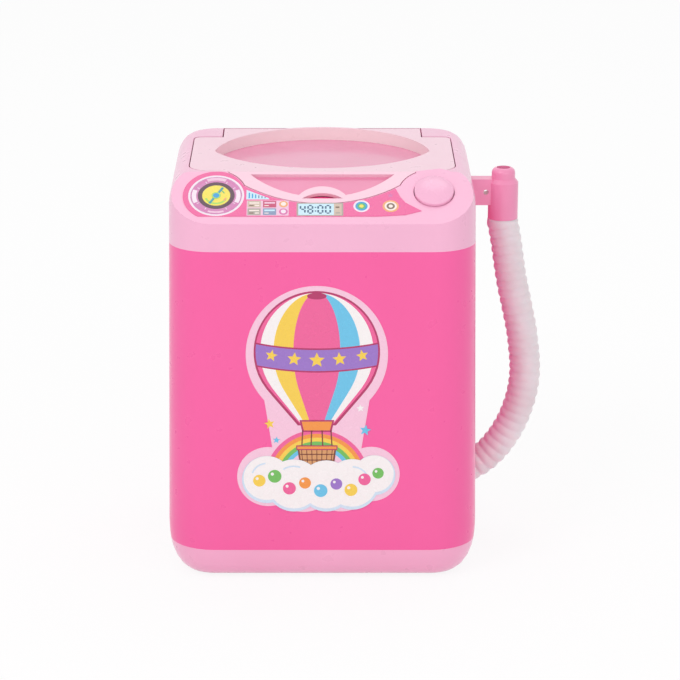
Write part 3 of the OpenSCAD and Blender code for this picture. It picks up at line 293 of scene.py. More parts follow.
def rubber(name, colour):
    """Matt rubber with a dusty, finely pitted skin."""
    material, nodes, links, shader, place = new_material(name)
    dust = noise_at(nodes, links, place, 120, 5, 0.6)
    mottle(nodes, links, dust, colour, 0.12, shader.inputs["Base Color"])
    links.new(spread(nodes, links, dust, 0.62, 0.8), shader.inputs["Roughness"])
    pits = noise_at(nodes, links, place, 1900, 3)
    bumps(nodes, links, pits, 0.16, 0.0001, shader)
    return material


def cell_sleeve(name, colour, band):
    """Plain printed sleeve of a battery cell, with a lighter band at its nub's end."""
    material, nodes, links, shader, place = new_material(name)
    split = nodes.new("ShaderNodeSeparateXYZ")
    links.new(place.outputs["Object"], split.inputs["Vector"])
    edge = nodes.new("ShaderNodeMath")
    edge.operation = "GREATER_THAN"
    edge.inputs[1].default_value = 0.012
    size = nodes.new("ShaderNodeMath")
    size.operation = "ABSOLUTE"
    links.new(split.outputs["X"], size.inputs[0])
    links.new(size.outputs["Value"], edge.inputs[0])
    mix = nodes.new("ShaderNodeMix")
    mix.data_type = "RGBA"
    mix.inputs[6].default_value = linear(colour)
    mix.inputs[7].default_value = linear(band)
    links.new(edge.outputs["Value"], mix.inputs[0])
    links.new(mix.outputs[2], shader.inputs["Base Color"])
    scuffs = noise_at(nodes, links, place, 300, 4)
    links.new(spread(nodes, links, scuffs, 0.2, 0.36), shader.inputs["Roughness"])
    bumps(nodes, links, scuffs, 0.05, 0.00004, shader)
    shader.inputs["Metallic"].default_value = 0.25
    return material


def link_mesh(bm, name, materials):
    """A new object at the origin with the bmesh's shape."""
    mesh = bpy.data.meshes.new(name)
    bm.to_mesh(mesh)
    bm.free()
    loose_normals = mesh.attributes.get("custom_normal")
    if loose_normals is not None:
        mesh.attributes.remove(loose_normals)
    piece = bpy.data.objects.new(name, mesh)
    bpy.context.scene.collection.objects.link(piece)
    for material in materials:
        mesh.materials.append(material)
    return piece


def soften(bm, angle):
    """Smooth faces, with the edges over an angle kept sharp."""
    for face in bm.faces:
        face.smooth = True
    for edge in bm.edges:
        edge.smooth = not (edge.is_manifold and edge.calc_face_angle(0) > math.radians(angle))


def dress(node, name, material, edge=0.0, angle=28.0, segments=2):
    """A merged, smooth copy of a frame node with its finish and rounded edges, standing for that node."""
    bm = bmesh.new()
    bm.from_mesh(NODES[node].data)
    bmesh.ops.remove_doubles(bm, verts=bm.verts, dist=0.000002)
    bmesh.ops.dissolve_limit(bm, angle_limit=math.radians(0.3), verts=bm.verts, edges=bm.edges)
    for face in bm.faces:
        face.material_index = 0
    soften(bm, angle)
    piece = link_mesh(bm, name, [material])
    if edge > 0:
        bevel = piece.modifiers.new("Edge round", "BEVEL")
        bevel.width = edge
        bevel.segments = segments
        bevel.limit_method = "ANGLE"
        bevel.angle_limit = math.radians(angle)
        bevel.profile = 0.5
        bevel.harden_normals = False
        even = piece.modifiers.new("Even shading", "WEIGHTED_NORMAL")
        even.keep_sharp = True
        even.weight = 60
    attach(piece, BODY_OF[node])
    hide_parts(node)
    return piece


def finish_node(node, material):
    """The frame node stays as it is and takes a finish."""
    mesh = NODES[node].data
    if not mesh.materials:
        mesh.materials.append(material)
    for index in range(len(mesh.materials)):
        mesh.materials[index] = material


def mark_ink(bm, before, ink):
    """The faces made since then take the ink."""
    for face in bm.faces:
        if face not in before:
            face.material_index = ink


def film_disc(bm, ink, x, y, radius, layer, sides=40, squash=1.0):
    """A printed disc."""
    before = set(bm.faces)
    place = Matrix.Translation((x * MM, y * MM, (FILM + LAYER * layer) * MM))
    place = place @ Matrix.Diagonal((1, squash, 1, 1))
    bmesh.ops.create_circle(bm, cap_ends=True, segments=sides, radius=radius * MM, matrix=place)
    mark_ink(bm, before, ink)


def film_arc(bm, ink, x, y, inner, outer, start, end, layer, steps=24):
    """A printed ring, or a part of one between two angles."""
    before = set(bm.faces)
    full = abs(end - start) >= 360
    height = (FILM + LAYER * layer) * MM
    a = math.radians(start)
    c, s = math.cos(a), math.sin(a)
    ends = [bm.verts.new(((x + r * c) * MM, (y + r * s) * MM, height)) for r in (inner, outer)]
    edge = bm.edges.new(ends)
    bmesh.ops.spin(
        bm, geom=ends + [edge], cent=(x * MM, y * MM, height), axis=(0, 0, 1),
        angle=math.radians(end - start), steps=steps, use_merge=full,
    )
    mark_ink(bm, before, ink)


def film_shape(bm, ink, points, layer):
    """A printed shape with straight sides."""
    before = set(bm.faces)
    height = (FILM + LAYER * layer) * MM
    bm.faces.new([bm.verts.new((x * MM, y * MM, height)) for x, y in points])
    mark_ink(bm, before, ink)


def film_bar(bm, ink, x0, y0, x1, y1, layer):
    """A printed upright rectangle."""
    film_shape(bm, ink, [(x0, y0), (x1, y0), (x1, y1), (x0, y1)], layer)


def film_line(bm, ink, x0, y0, x1, y1, width, layer):
    """A printed straight line."""
    away = Vector((y0 - y1, x1 - x0)).normalized() * width / 2
    one_side = [(x0 - away.x, y0 - away.y), (x1 - away.x, y1 - away.y)]
    other_side = [(x1 + away.x, y1 + away.y), (x0 + away.x, y0 + away.y)]
    film_shape(bm, ink, one_side + other_side, layer)


def film_star(bm, ink, x, y, radius, layer, turn=90.0, points=5, waist=0.45):
    """A printed star."""
    corners = []
    for k in range(2 * points):
        r = radius if k % 2 == 0 else radius * waist
        a = math.radians(turn + 180 * k / points)
        corners.append((x + r * math.cos(a), y + r * math.sin(a)))
    film_shape(bm, ink, corners, layer)


def film_digit(bm, ink, digit, x, y, width, height, stroke, layer):
    """One digit of a display, made of straight strokes."""
    middle = y + height / 2
    top = y + height
    right = x + width
    half = stroke / 2
    strokes = {
        "a": (x + half, top, right - half, top), "b": (right, middle + half, right, top - half),
        "c": (right, y + half, right, middle - half), "d": (x + half, y, right - half, y),
        "e": (x, y + half, x, middle - half), "f": (x, middle + half, x, top - half),
        "g": (x + half, middle, right - half, middle),
    }
    lit = {"0": "abcdef", "4": "bcfg", "8": "abcdefg"}
    for key in lit[digit]:
        film_line(bm, ink, *strokes[key], stroke, layer)


def finish_film(bm, name, inks, place, body, thickness):
    """The printed layers as one piece on its surface."""
    bm.normal_update()
    bmesh.ops.reverse_faces(bm, faces=[f for f in bm.faces if f.normal.z < 0])
    bmesh.ops.transform(bm, matrix=place, verts=bm.verts)
    piece = link_mesh(bm, name, inks)
    body_of_ink = piece.modifiers.new("Ink", "SOLIDIFY")
    body_of_ink.thickness = thickness
    body_of_ink.offset = -1
    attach(piece, body)
    return piece


def hose_line(step):
    """Points and directions along the hose's route, at even steps in metres."""
    route = [Vector((x * MM, HOSE_Y * MM, z * MM)) for x, z in HOSE_ROUTE]
    ends = [2 * route[0] - route[1]] + route + [2 * route[-1] - route[-2]]
    fine = []
    for i in range(1, len(ends) - 2):
        p0, p1, p2, p3 = ends[i - 1:i + 3]
        for k in range(12):
            t = k / 12
            fine.append(0.5 * (2 * p1 + (p2 - p0) * t + (2 * p0 - 5 * p1 + 4 * p2 - p3) * t * t
                               + (3 * p1 - 3 * p2 + p3 - p0) * t ** 3))
    fine.append(route[-1])
    lengths = [0.0]
    for a, b in zip(fine, fine[1:]):
        lengths.append(lengths[-1] + (b - a).length)
    total = lengths[-1]
    count = max(2, round(total / step))
    points = []
    i = 0
    for k in range(count + 1):
        wanted = total * k / count
        while i < len(fine) - 2 and lengths[i + 1] < wanted:
            i += 1
        share = (wanted - lengths[i]) / max(lengths[i + 1] - lengths[i], 1e-9)
        points.append(fine[i].lerp(fine[i + 1], min(1.0, share)))
    ways = []
    for k in range(count + 1):
        ways.append((points[min(k + 1, count)] - points[max(k - 1, 0)]).normalized())
    return points, ways, total


def ring_edges(ring):
    """The edges of one ring of vertices."""
    inside = set(ring)
    return {e for v in ring for e in v.link_edges if e.other_vert(v) in inside}


class WASHER_OT_camera(Operator):
    """Add the camera at the photograph's viewing angle"""

    bl_idname = "washer.camera"
    bl_label = "Camera"

    def execute(self, context):
        stage = context.scene.washer_stage
        data = bpy.data.cameras.new("camera")
        data.sensor_width = 36.0
        data.lens = stage.lens
        data.shift_x = 0.0260
        data.shift_y = 0.0145
        data.clip_start = 0.01
        data.clip_end = 30
        camera = bpy.data.objects.new("camera", data)
        context.scene.collection.objects.link(camera)
        place = Vector((0, -stage.camera_back, stage.camera_height))
        aim = Vector((0, 0, stage.aim_height))
        camera.location = place
        camera.rotation_euler = (aim - place).to_track_quat("-Z", "Y").to_euler()
        context.scene.camera = camera
        return {"FINISHED"}


class WASHER_OT_hose(Operator):
    """Add the ribbed drain hose along its route"""

    bl_idname = "washer.hose"
    bl_label = "Drain hose"

    def execute(self, context):
        hose = context.scene.washer_hose
        plastics = context.scene.washer_plastics
        points, ways, total = hose_line(hose.pitch / 10)
        ribs = round(total / hose.pitch)
        bm = bmesh.new()
        last = None
        for k, (point, way) in enumerate(zip(points, ways)):
            turn = abs(math.sin(math.pi * ribs * k / (len(points) - 1)))
            radius = hose.diameter / 2 - hose.depth * (1 - turn ** 0.9)
            side = Vector((0, 1, 0)).cross(way).normalized()
            place = Matrix((side, Vector((0, 1, 0)), way)).transposed().to_4x4()
            place.translation = point
            ends = k == 0 or k == len(points) - 1
            ring = bmesh.ops.create_circle(
                bm, cap_ends=ends, segments=hose.sides, radius=radius, matrix=place
            )["verts"]
            if last is not None:
                bmesh.ops.bridge_loops(bm, edges=list(ring_edges(last) | ring_edges(ring)))
            last = ring
        bmesh.ops.recalc_face_normals(bm, faces=bm.faces)
        soften(bm, 60)
        piece = link_mesh(bm, "ribbed_hose", [soft_hose_plastic("hose_plastic", plastics.hose)])
        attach(piece, "housing")
        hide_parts("drain_hose")
        return {"FINISHED"}


class WASHER_OT_shell(Operator):
    """Dress the cabinet, the base tray, the top cover and the battery door"""

    bl_idname = "washer.shell"
    bl_label = "Body mouldings"

    def execute(self, context):
        plastics = context.scene.washer_plastics
        hot = moulded_plastic("cabinet_plastic", plastics.cabinet, plastics.roughness)
        pale = moulded_plastic("cover_plastic", plastics.cover, plastics.roughness)
        tray = moulded_plastic("base_plastic", plastics.base, plastics.roughness)
        dress("cabinet", "cabinet_shell", hot, plastics.edge)
        dress("base_tray", "base_shell", tray, plastics.edge)
        dress("top_cover", "cover_shell", pale, plastics.edge)
        dress("battery_door", "door_panel", hot, plastics.edge * 0.7)
        return {"FINISHED"}


class WASHER_OT_lid(Operator):
    """Dress the lid frame and its see-through window, with a painted highlight on the dish's rear wall"""

    bl_idname = "washer.lid"
    bl_label = "Lid and window"

    def execute(self, context):
        plastics = context.scene.washer_plastics
        frame_plastic = moulded_plastic("lid_plastic", plastics.lid, plastics.roughness)
        pane = clear_plastic("window_plastic", plastics.window, 0.12)
        # Cream for the dish's rear wall: a painted highlight, lighter than the lid where the light falls on
        # the wall
        painted_highlight = moulded_plastic("rim_painted_highlight", (1.0, 0.925, 0.93), plastics.roughness)
        for node, name, plastic, edge in (
            ("lid", "lid_frame", frame_plastic, plastics.edge),
            ("lid_window", "window_pane", pane, plastics.edge * 0.7),
        ):
            piece = dress(node, name, plastic, edge)
            # Faces of the dish's rear wall that face the front take the painted highlight
            piece.data.materials.append(painted_highlight)
            for face in piece.data.polygons:
                place = face.center
                highlit_wall = 0.0048 < place.y < 0.0425 and place.z > 0.1475
                if highlit_wall and face.normal.y < -0.1 and abs(face.normal.z) < 0.6:
                    face.material_index = 1
        return {"FINISHED"}


class WASHER_OT_hook(Operator):
    """Dress the hook that carries the hose's upper end"""

    bl_idname = "washer.hook"
    bl_label = "Hose hook"

    def execute(self, context):
        plastics = context.scene.washer_plastics
        # Hook colour with painted shade in it, darker than the cover
        hook = moulded_plastic("hook_plastic_and_shade", plastics.hook, plastics.roughness, change=0.03)
        dress("hose_hook", "hook_body", hook, plastics.edge)
        return {"FINISHED"}


class WASHER_OT_controls(Operator):
    """Dress the push button and the switch under it"""

    bl_idname = "washer.controls"
    bl_label = "Push button"

    def execute(self, context):
        plastics = context.scene.washer_plastics
        cap = moulded_plastic("button_plastic", shaded(plastics.cover, 1.01), plastics.roughness - 0.04)
        white = moulded_plastic("white_plastic", (0.93, 0.93, 0.91), 0.4)
        dark = moulded_plastic("switch_plastic", (0.22, 0.24, 0.28), 0.42, 0.05)
        dress("power_button", "button_cap", cap, plastics.edge)
        finish_node("switch_plunger", white)
        finish_node("push_switch", dark)
        return {"FINISHED"}


class WASHER_OT_panel_print(Operator):
    """Add the film and the print on the control panel, and the painted shade behind the finger notch"""

    bl_idname = "washer.panel_print"
    bl_label = "Panel print"

    def execute(self, context):
        prints = context.scene.washer_prints
        sticker = printed_film("panel_film", prints.sticker)
        dress("control_label", "panel_sticker", sticker)
        inks = [
            printed_film("ink_white", (0.97, 0.9, 0.95)),
            printed_film("ink_mauve", (0.83, 0.5, 0.72)),
            printed_film("ink_plum", (0.29, 0.11, 0.22)),
            printed_film("ink_yellow", (0.97, 0.89, 0.3)),
            printed_film("ink_teal", (0.14, 0.6, 0.66)),
            printed_film("ink_blue", (0.1, 0.62, 0.85)),
            printed_film("ink_lime", (0.66, 0.86, 0.36)),
            printed_film("ink_ice", (0.8, 0.93, 0.99)),
            printed_film("ink_navy", (0.12, 0.3, 0.46)),
            printed_film("ink_stone", (0.68, 0.64, 0.6)),
            printed_film("ink_sand", (0.82, 0.73, 0.66)),
            printed_film("ink_berry", (0.78, 0.22, 0.42)),
            printed_film("ink_slate", (0.5, 0.58, 0.72)),
            printed_film("ink_blush", (0.95, 0.77, 0.87)),
            printed_film("ink_orange", (0.95, 0.66, 0.42)),
            printed_film("ink_brown", (0.46, 0.34, 0.27)),
            printed_film("ink_cream", (0.99, 0.93, 0.9)),
            printed_film("ink_green", (0.3, 0.72, 0.45)),
            printed_film("ink_rose", (0.86, 0.42, 0.68)),
        ]
        (white, mauve, plum, yellow, teal, blue, lime, ice, navy, stone, sand, berry, slate, blush, orange,
         brown, cream, green, rose) = range(len(inks))
        bm = bmesh.new()
        x, y = -38.6, 10.5
        film_arc(bm, white, x, y, 9.3, 10.2, 0, 360, 1, 64)
        film_arc(bm, mauve, x, y, 6.6, 9.4, 0, 360, 1, 64)
        film_arc(bm, rose, x, y, 8.3, 8.6, 0, 360, 2, 64)
        film_arc(bm, white, x, y, 7.3, 8.9, 160, 205, 3, 12)
        film_arc(bm, white, x, y, 7.3, 8.9, -25, 20, 3, 12)
        film_arc(bm, blush, x, y, 7.6, 9.0, 66, 114, 3, 12)
        film_arc(bm, blush, x, y, 7.9, 8.7, 250, 290, 3, 12)
        for a in range(30, 360, 30):
            if a % 90:
                c, s = math.cos(math.radians(a)), math.sin(math.radians(a))
                film_line(bm, white, x + 7.0 * c, y + 7.0 * s, x + 8.0 * c, y + 8.0 * s, 0.25, 3)
        film_disc(bm, plum, x, y, 6.7, 4, 56)
        film_disc(bm, yellow, x, y, 5.1, 5, 48)
        film_arc(bm, lime, x, y, 3.6, 4.4, 200, 330, 6, 16)
        film_arc(bm, orange, x, y, 3.4, 4.1, 318, 342, 7, 5)
        film_arc(bm, green, x, y, 2.9, 3.3, 20, 50, 7, 6)
        c, s = math.cos(math.radians(59)), math.sin(math.radians(59))
        film_line(bm, teal, x - 4.7 * c, y - 4.7 * s, x + 4.7 * c, y + 4.7 * s, 0.9, 8)
        film_disc(bm, lime, x, y, 1.7, 9, 28)
        film_disc(bm, blue, x, y, 1.2, 10, 28)
        # Wedge with its level bars
        film_shape(bm, ice, [(-27.6, 8.6), (-19.2, 8.6), (-19.6, 9.3), (-27.6, 13.4)], 1)
        for k in range(6):
            left = -26.8 + 1.15 * k
            film_bar(bm, blue if k < 3 else slate, left, 9.2, left + 0.5, 11.9 - 0.42 * k, 2)
        # Two grids and two round knobs at the left of the display
        film_bar(bm, blush, -27.4, 0.5, -12.2, 8.0, 1)
        for row in range(2):
            low = 0.8 + 3.75 * row
            film_bar(bm, stone if row == 0 else sand, -27.1, low, -22.3, low + 3.3, 2)
            film_bar(bm, cream, -26.5, low + 1.9, -22.9, low + 2.5, 3)
            film_bar(bm, brown, -26.5, low + 0.7, -24.9, low + 1.2, 3)
            film_bar(bm, cream, -24.4, low + 0.7, -22.9, low + 1.2, 3)
            film_bar(bm, slate if row == 0 else berry, -21.5, low, -16.7, low + 3.3, 2)
            film_bar(bm, ice if row == 0 else blush, -21.0, low + 1.9, -17.2, low + 2.7, 3)
            film_bar(bm, cream, -21.0, low + 0.7, -19.4, low + 1.1, 3)
            film_disc(bm, rose if row == 0 else orange, -14.1, low + 1.65, 1.6, 2, 28)
            film_disc(bm, white if row == 0 else cream, -14.1, low + 1.75, 0.95, 3, 24)
        # Time display
        bezel = [
            (-9.0, 0.35), (7.3, 0.35), (7.6, 0.7), (7.6, 6.6),
            (7.3, 6.9), (-9.0, 6.9), (-9.3, 6.6), (-9.3, 0.7),
        ]
        film_shape(bm, stone, bezel, 1)
        film_bar(bm, ice, -8.7, 0.8, 4.2, 6.4, 2)
        film_bar(bm, sand, 4.2, 0.8, 7.0, 6.4, 2)
        for k, digit in enumerate("4800"):
            left = -7.9 + 2.75 * k + (0.9 if k > 1 else 0)
            film_digit(bm, navy, digit, left, 1.7, 1.6, 3.8, 0.62, 3)
        for low in (2.5, 4.3):
            film_bar(bm, navy, -2.75, low, -2.2, low + 0.55, 3)
        film_bar(bm, stone, 4.8, 1.5, 6.4, 2.2, 3)
        film_bar(bm, brown, 4.8, 4.3, 6.2, 5.0, 3)
        # Two round marks at the right of the display
        for x, rings in ((14.2, (white, blue, green, yellow)), (24.8, (orange, cream, brown, cream))):
            for k, ink in enumerate(rings):
                film_disc(bm, ink, x, 5.2, 2.95 - 0.72 * k, k + 1, 36)
            for a in (0, 90, 180, 270):
                c, s = math.cos(math.radians(a)), math.sin(math.radians(a))
                film_line(bm, rose, x + 3.2 * c, 5.2 + 3.2 * s, x + 3.7 * c, 5.2 + 3.7 * s, 0.35, 1)
        film_star(bm, rose, 24.8, 10.6, 1.3, 1)
        finish_film(bm, "panel_ink", inks, PANEL, "housing", prints.thickness)
        # Painted shade seen through the finger notch: a raised magenta pad seated on the lid's well,
        # coloured as the shaded pink inside
        bm = bmesh.new()
        turns = [math.radians(a) for a in range(-90, 91, 10)]
        film_shape(bm, 0, [(6.7 * math.sin(a), 9.7 + 2.0 * math.cos(a)) for a in turns], 0)
        # The pad's colour is painted shade
        shade_pad = moulded_plastic("notch_shade_pad", prints.slot, 0.35)
        place = PANEL @ Matrix.Translation((0, 0, -2.1 * MM))
        finish_film(bm, "notch_shade_pad", [shade_pad], place, "housing", 0.0016)
        return {"FINISHED"}


class WASHER_OT_front_print(Operator):
    """Add the film and the balloon print on the cabinet's front"""

    bl_idname = "washer.front_print"
    bl_label = "Front print"

    def execute(self, context):
        prints = context.scene.washer_prints
        border = printed_film("border_film", prints.border)
        dress("front_decal", "front_sticker", border)
        inks = [
            printed_film("print_pink", (0.96, 0.38, 0.62)),
            printed_film("print_white", (1.0, 0.97, 0.97)),
            printed_film("print_yellow", (0.99, 0.83, 0.3)),
            printed_film("print_sky", (0.42, 0.78, 0.93)),
            printed_film("print_wine", (0.72, 0.16, 0.4)),
            printed_film("print_brown", (0.48, 0.22, 0.16)),
            printed_film("print_tan", (0.87, 0.62, 0.4)),
            printed_film("print_green", (0.45, 0.76, 0.36)),
            printed_film("print_orange", (0.98, 0.6, 0.25)),
            printed_film("print_violet", (0.62, 0.46, 0.8)),
            printed_film("print_cloud_shade", (0.84, 0.91, 0.98)),
        ]
        pink, white, yellow, sky, wine, brown, tan, green, orange, violet, shade = range(len(inks))
        bm = bmesh.new()
        middle = -2.0

        def half_width(y):
            """Half the envelope's width at a height."""
            if y >= 75.6:
                return math.sqrt(max(0.0, 22.4 ** 2 - (y - 90) ** 2))
            return 17.2 - 0.839 * (75.6 - y)

        # Rainbow behind the basket
        for k, ink in enumerate((pink, orange, yellow, green, sky)):
            outer = 19.2 - 1.5 * k
            film_arc(bm, ink, middle, 41, outer - 1.5, outer, 8, 172, 1, 28)
        # Dark outline of the envelope, then its stripes
        for layer, grow in ((2, 0.7), (3, 0.0)):
            before = set(bm.faces)
            columns = 8 if grow == 0 else 1
            made = bmesh.ops.create_grid(bm, x_segments=columns, y_segments=28, size=1)["verts"]
            for vert in made:
                up = (vert.co.y + 1) / 2
                y = 62.6 + 49.8 * math.sin(up * math.pi / 2)
                width = half_width(y) + grow
                y += grow * (2 * up - 1)
                bend = math.sin(vert.co.x * math.pi / 2)
                vert.co = Vector(((middle + width * bend) * MM, y * MM, (FILM + LAYER * layer) * MM))
            stripes = (pink, white, yellow, pink, pink, sky, white, pink)
            for face in set(bm.faces) - before:
                place = face.calc_center_median()
                if grow:
                    face.material_index = wine
                    continue
                share = (place.x / MM - middle) / max(half_width(place.y / MM), 0.1)
                column = int((math.asin(max(-1, min(1, share))) / math.pi + 0.5) * 8)
                face.material_index = stripes[max(0, min(7, column))]
        # Band with stars round the middle of the envelope
        for low, high, ink, layer in ((84.4, 93.6, wine, 4), (85.0, 93.0, violet, 5)):
            before = set(bm.faces)
            made = bmesh.ops.create_grid(bm, x_segments=16, y_segments=3, size=1)["verts"]
            for vert in made:
                y = low + (high - low) * (vert.co.y + 1) / 2
                sag = 2.2 * (1 - vert.co.x ** 2)
                width = half_width(y - sag * 0.2)
                x = middle + width * vert.co.x
                vert.co = Vector((x * MM, (y - sag) * MM, (FILM + LAYER * layer) * MM))
            for face in set(bm.faces) - before:
                face.material_index = ink
        for k in range(-2, 3):
            film_star(bm, yellow, middle + 8.3 * k, 86.9 + 0.45 * k * k, 3.0 - 0.35 * abs(k), 6, 90 + 6 * k)
        # Crown, skirt, ropes and basket
        film_disc(bm, wine, middle, 111.2, 3.6, 4, 24, 0.35)
        film_shape(bm, wine, [(-8.4, 64.0), (4.4, 64.0), (3.4, 59.4), (-7.4, 59.4)], 4)
        film_shape(bm, orange, [(-7.6, 63.4), (3.6, 63.4), (2.8, 60.0), (-6.8, 60.0)], 5)
        for x0, x1 in ((-7.2, -7.6), (3.2, 3.6), (-3.9, -4.2), (-0.1, 0.2)):
            film_line(bm, brown, x0, 60, x1, 53.0, 0.45, 4)
        film_shape(bm, brown, [(-9.2, 53.6), (5.2, 53.6), (4.0, 43.6), (-8.0, 43.6)], 5)
        film_shape(bm, tan, [(-8.5, 52.9), (4.5, 52.9), (3.4, 44.2), (-7.4, 44.2)], 6)
        for k in range(1, 4):
            film_line(bm, brown, -8.4 + 0.25 * k, 52.9 - 2.2 * k, 4.4 - 0.25 * k, 52.9 - 2.2 * k, 0.4, 7)
        for k in range(-3, 4):
            film_line(bm, brown, middle + 1.9 * k, 52.9, middle + 1.65 * k, 44.2, 0.3, 7)
        film_bar(bm, wine, -9.6, 52.4, 5.6, 54.2, 8)
        film_bar(bm, orange, -9.2, 52.8, 5.2, 53.8, 9)
        # Clouds along the lower edge, with coloured balls and stars on them
        clouds = (
            (-20.5, 41.5, 8.6), (-10.5, 39.2, 9.6), (1.5, 39.0, 9.4), (11, 39.6, 9.3), (19.2, 43.2, 7.2),
        )
        for k, (x, y, r) in enumerate(clouds):
            film_disc(bm, shade, x, y - 0.6, r + 0.6, 10 + k * 0.05, 44)
            film_disc(bm, white, x, y, r, 12 + k * 0.05, 44)
        film_arc(bm, shade, -20.5, 41.5, 5.4, 6.0, 95, 160, 14, 10)
        film_arc(bm, shade, 11, 39.6, 6.0, 6.6, 30, 88, 14, 10)
        film_arc(bm, shade, -10.5, 39.2, 6.6, 7.2, 70, 125, 14, 10)
        balls = (
            (-23.3, 40.5, 2.3, yellow), (-17.6, 42.2, 2.5, green), (-12.2, 37.5, 2.4, pink),
            (-6.4, 39.6, 2.2, orange), (-0.6, 36.6, 2.5, sky), (5.2, 39.2, 2.2, violet),
            (10.6, 36.9, 2.4, yellow), (15.6, 41.0, 2.3, pink), (20.6, 43.4, 2.1, green),
        )
        for x, y, r, ink in balls:
            film_disc(bm, ink, x, y, r, 15, 30)
            film_disc(bm, white, x - r * 0.35, y + r * 0.35, r * 0.24, 16, 14)
        film_star(bm, sky, 15.8, 60.0, 2.2, 1, 80)
        film_star(bm, yellow, -19.4, 62.5, 2.0, 1, 100)
        film_star(bm, white, 14.0, 68.5, 1.5, 1, 96)
        film_star(bm, sky, -16.9, 56.2, 1.4, 3, 84)
        finish_film(bm, "front_ink", inks, FRONT, "housing", prints.thickness)
        return {"FINISHED"}


class WASHER_OT_drum(Operator):
    """Dress the wash tub, the spin basket and the pulsator"""

    bl_idname = "washer.drum"
    bl_label = "Tub and basket"

    def execute(self, context):
        plastics = context.scene.washer_plastics
        tub = moulded_plastic("tub_plastic", plastics.tub, 0.42, 0.1)
        basket = moulded_plastic("basket_plastic", plastics.basket, 0.38, 0.12)
        pulsator = moulded_plastic("pulsator_plastic", plastics.pulsator, 0.3)
        dress("wash_tub", "tub_shell", tub, plastics.edge * 0.7)
        dress("spin_basket", "basket_shell", basket, plastics.edge * 0.5)
        dress("pulsator", "pulsator_disc", pulsator, plastics.edge * 0.7)
        return {"FINISHED"}


class WASHER_OT_drive(Operator):
    """Finish the motor, gears, spindle, bush and drain elbow"""

    bl_idname = "washer.drive"
    bl_label = "Drive and drain"

    def execute(self, context):
        ground = metal("ground_steel", (0.74, 0.74, 0.75), 0.24, (1, 1, 0.1))
        can = metal("motor_can", (0.7, 0.71, 0.72), 0.32, (0.2, 0.2, 2))
        brass = metal("brass", (0.83, 0.66, 0.36), 0.3, (1, 1, 0.2))
        nylon = moulded_plastic("gear_nylon", (0.95, 0.95, 0.93), 0.45, 0.05)
        frame_plastic = moulded_plastic("gearbox_plastic", (0.92, 0.92, 0.9), 0.42, 0.08)
        seal = rubber("seal_rubber", (0.16, 0.16, 0.17))
        finish_node("drive_spindle", ground)
        finish_node("motor_shaft", ground)
        finish_node("drive_motor", can)
        finish_node("shaft_bush", brass)
        finish_node("motor_pinion", brass)
        finish_node("spindle_gear", nylon)
        finish_node("gearbox_plate", frame_plastic)
        finish_node("drain_elbow", frame_plastic)
        finish_node("shaft_seal", seal)
        return {"FINISHED"}


class WASHER_OT_batteries(Operator):
    """Finish the battery box, its cells, contacts and the three leads"""

    bl_idname = "washer.batteries"
    bl_label = "Batteries and leads"

    def execute(self, context):
        box = moulded_plastic("box_plastic", (0.93, 0.93, 0.91), 0.42, 0.06)
        sleeve = cell_sleeve("cell_sleeve", (0.2, 0.46, 0.3), (0.82, 0.82, 0.8))
        nickel = metal("contact_nickel", (0.8, 0.79, 0.76), 0.22, (1, 0.2, 1))
        finish_node("battery_box", box)
        finish_node("battery_cell_1", sleeve)
        finish_node("battery_cell_2", sleeve)
        finish_node("contact_plates", nickel)
        finish_node("contact_springs", nickel)
        finish_node("lead_red", rubber("lead_red", (0.78, 0.12, 0.1)))
        finish_node("lead_white", rubber("lead_white", (0.9, 0.89, 0.87)))
        finish_node("lead_black", rubber("lead_black", (0.07, 0.07, 0.08)))
        return {"FINISHED"}


class WASHER_OT_fasteners(Operator):
    """Finish the screws and the rubber feet"""

    bl_idname = "washer.fasteners"
    bl_label = "Screws and feet"

    def execute(self, context):
        zinc = metal("zinc_screw", (0.76, 0.77, 0.79), 0.28, (1, 1, 1))
        feet = rubber("foot_rubber", (0.15, 0.15, 0.16))
        screws = (
            "base_screws", "cover_screws", "switch_screws", "door_screw", "tub_screws", "pulsator_screw",
            "plate_screws",
        )
        for node in screws:
            finish_node(node, zinc)
        finish_node("rubber_feet", feet)
        return {"FINISHED"}


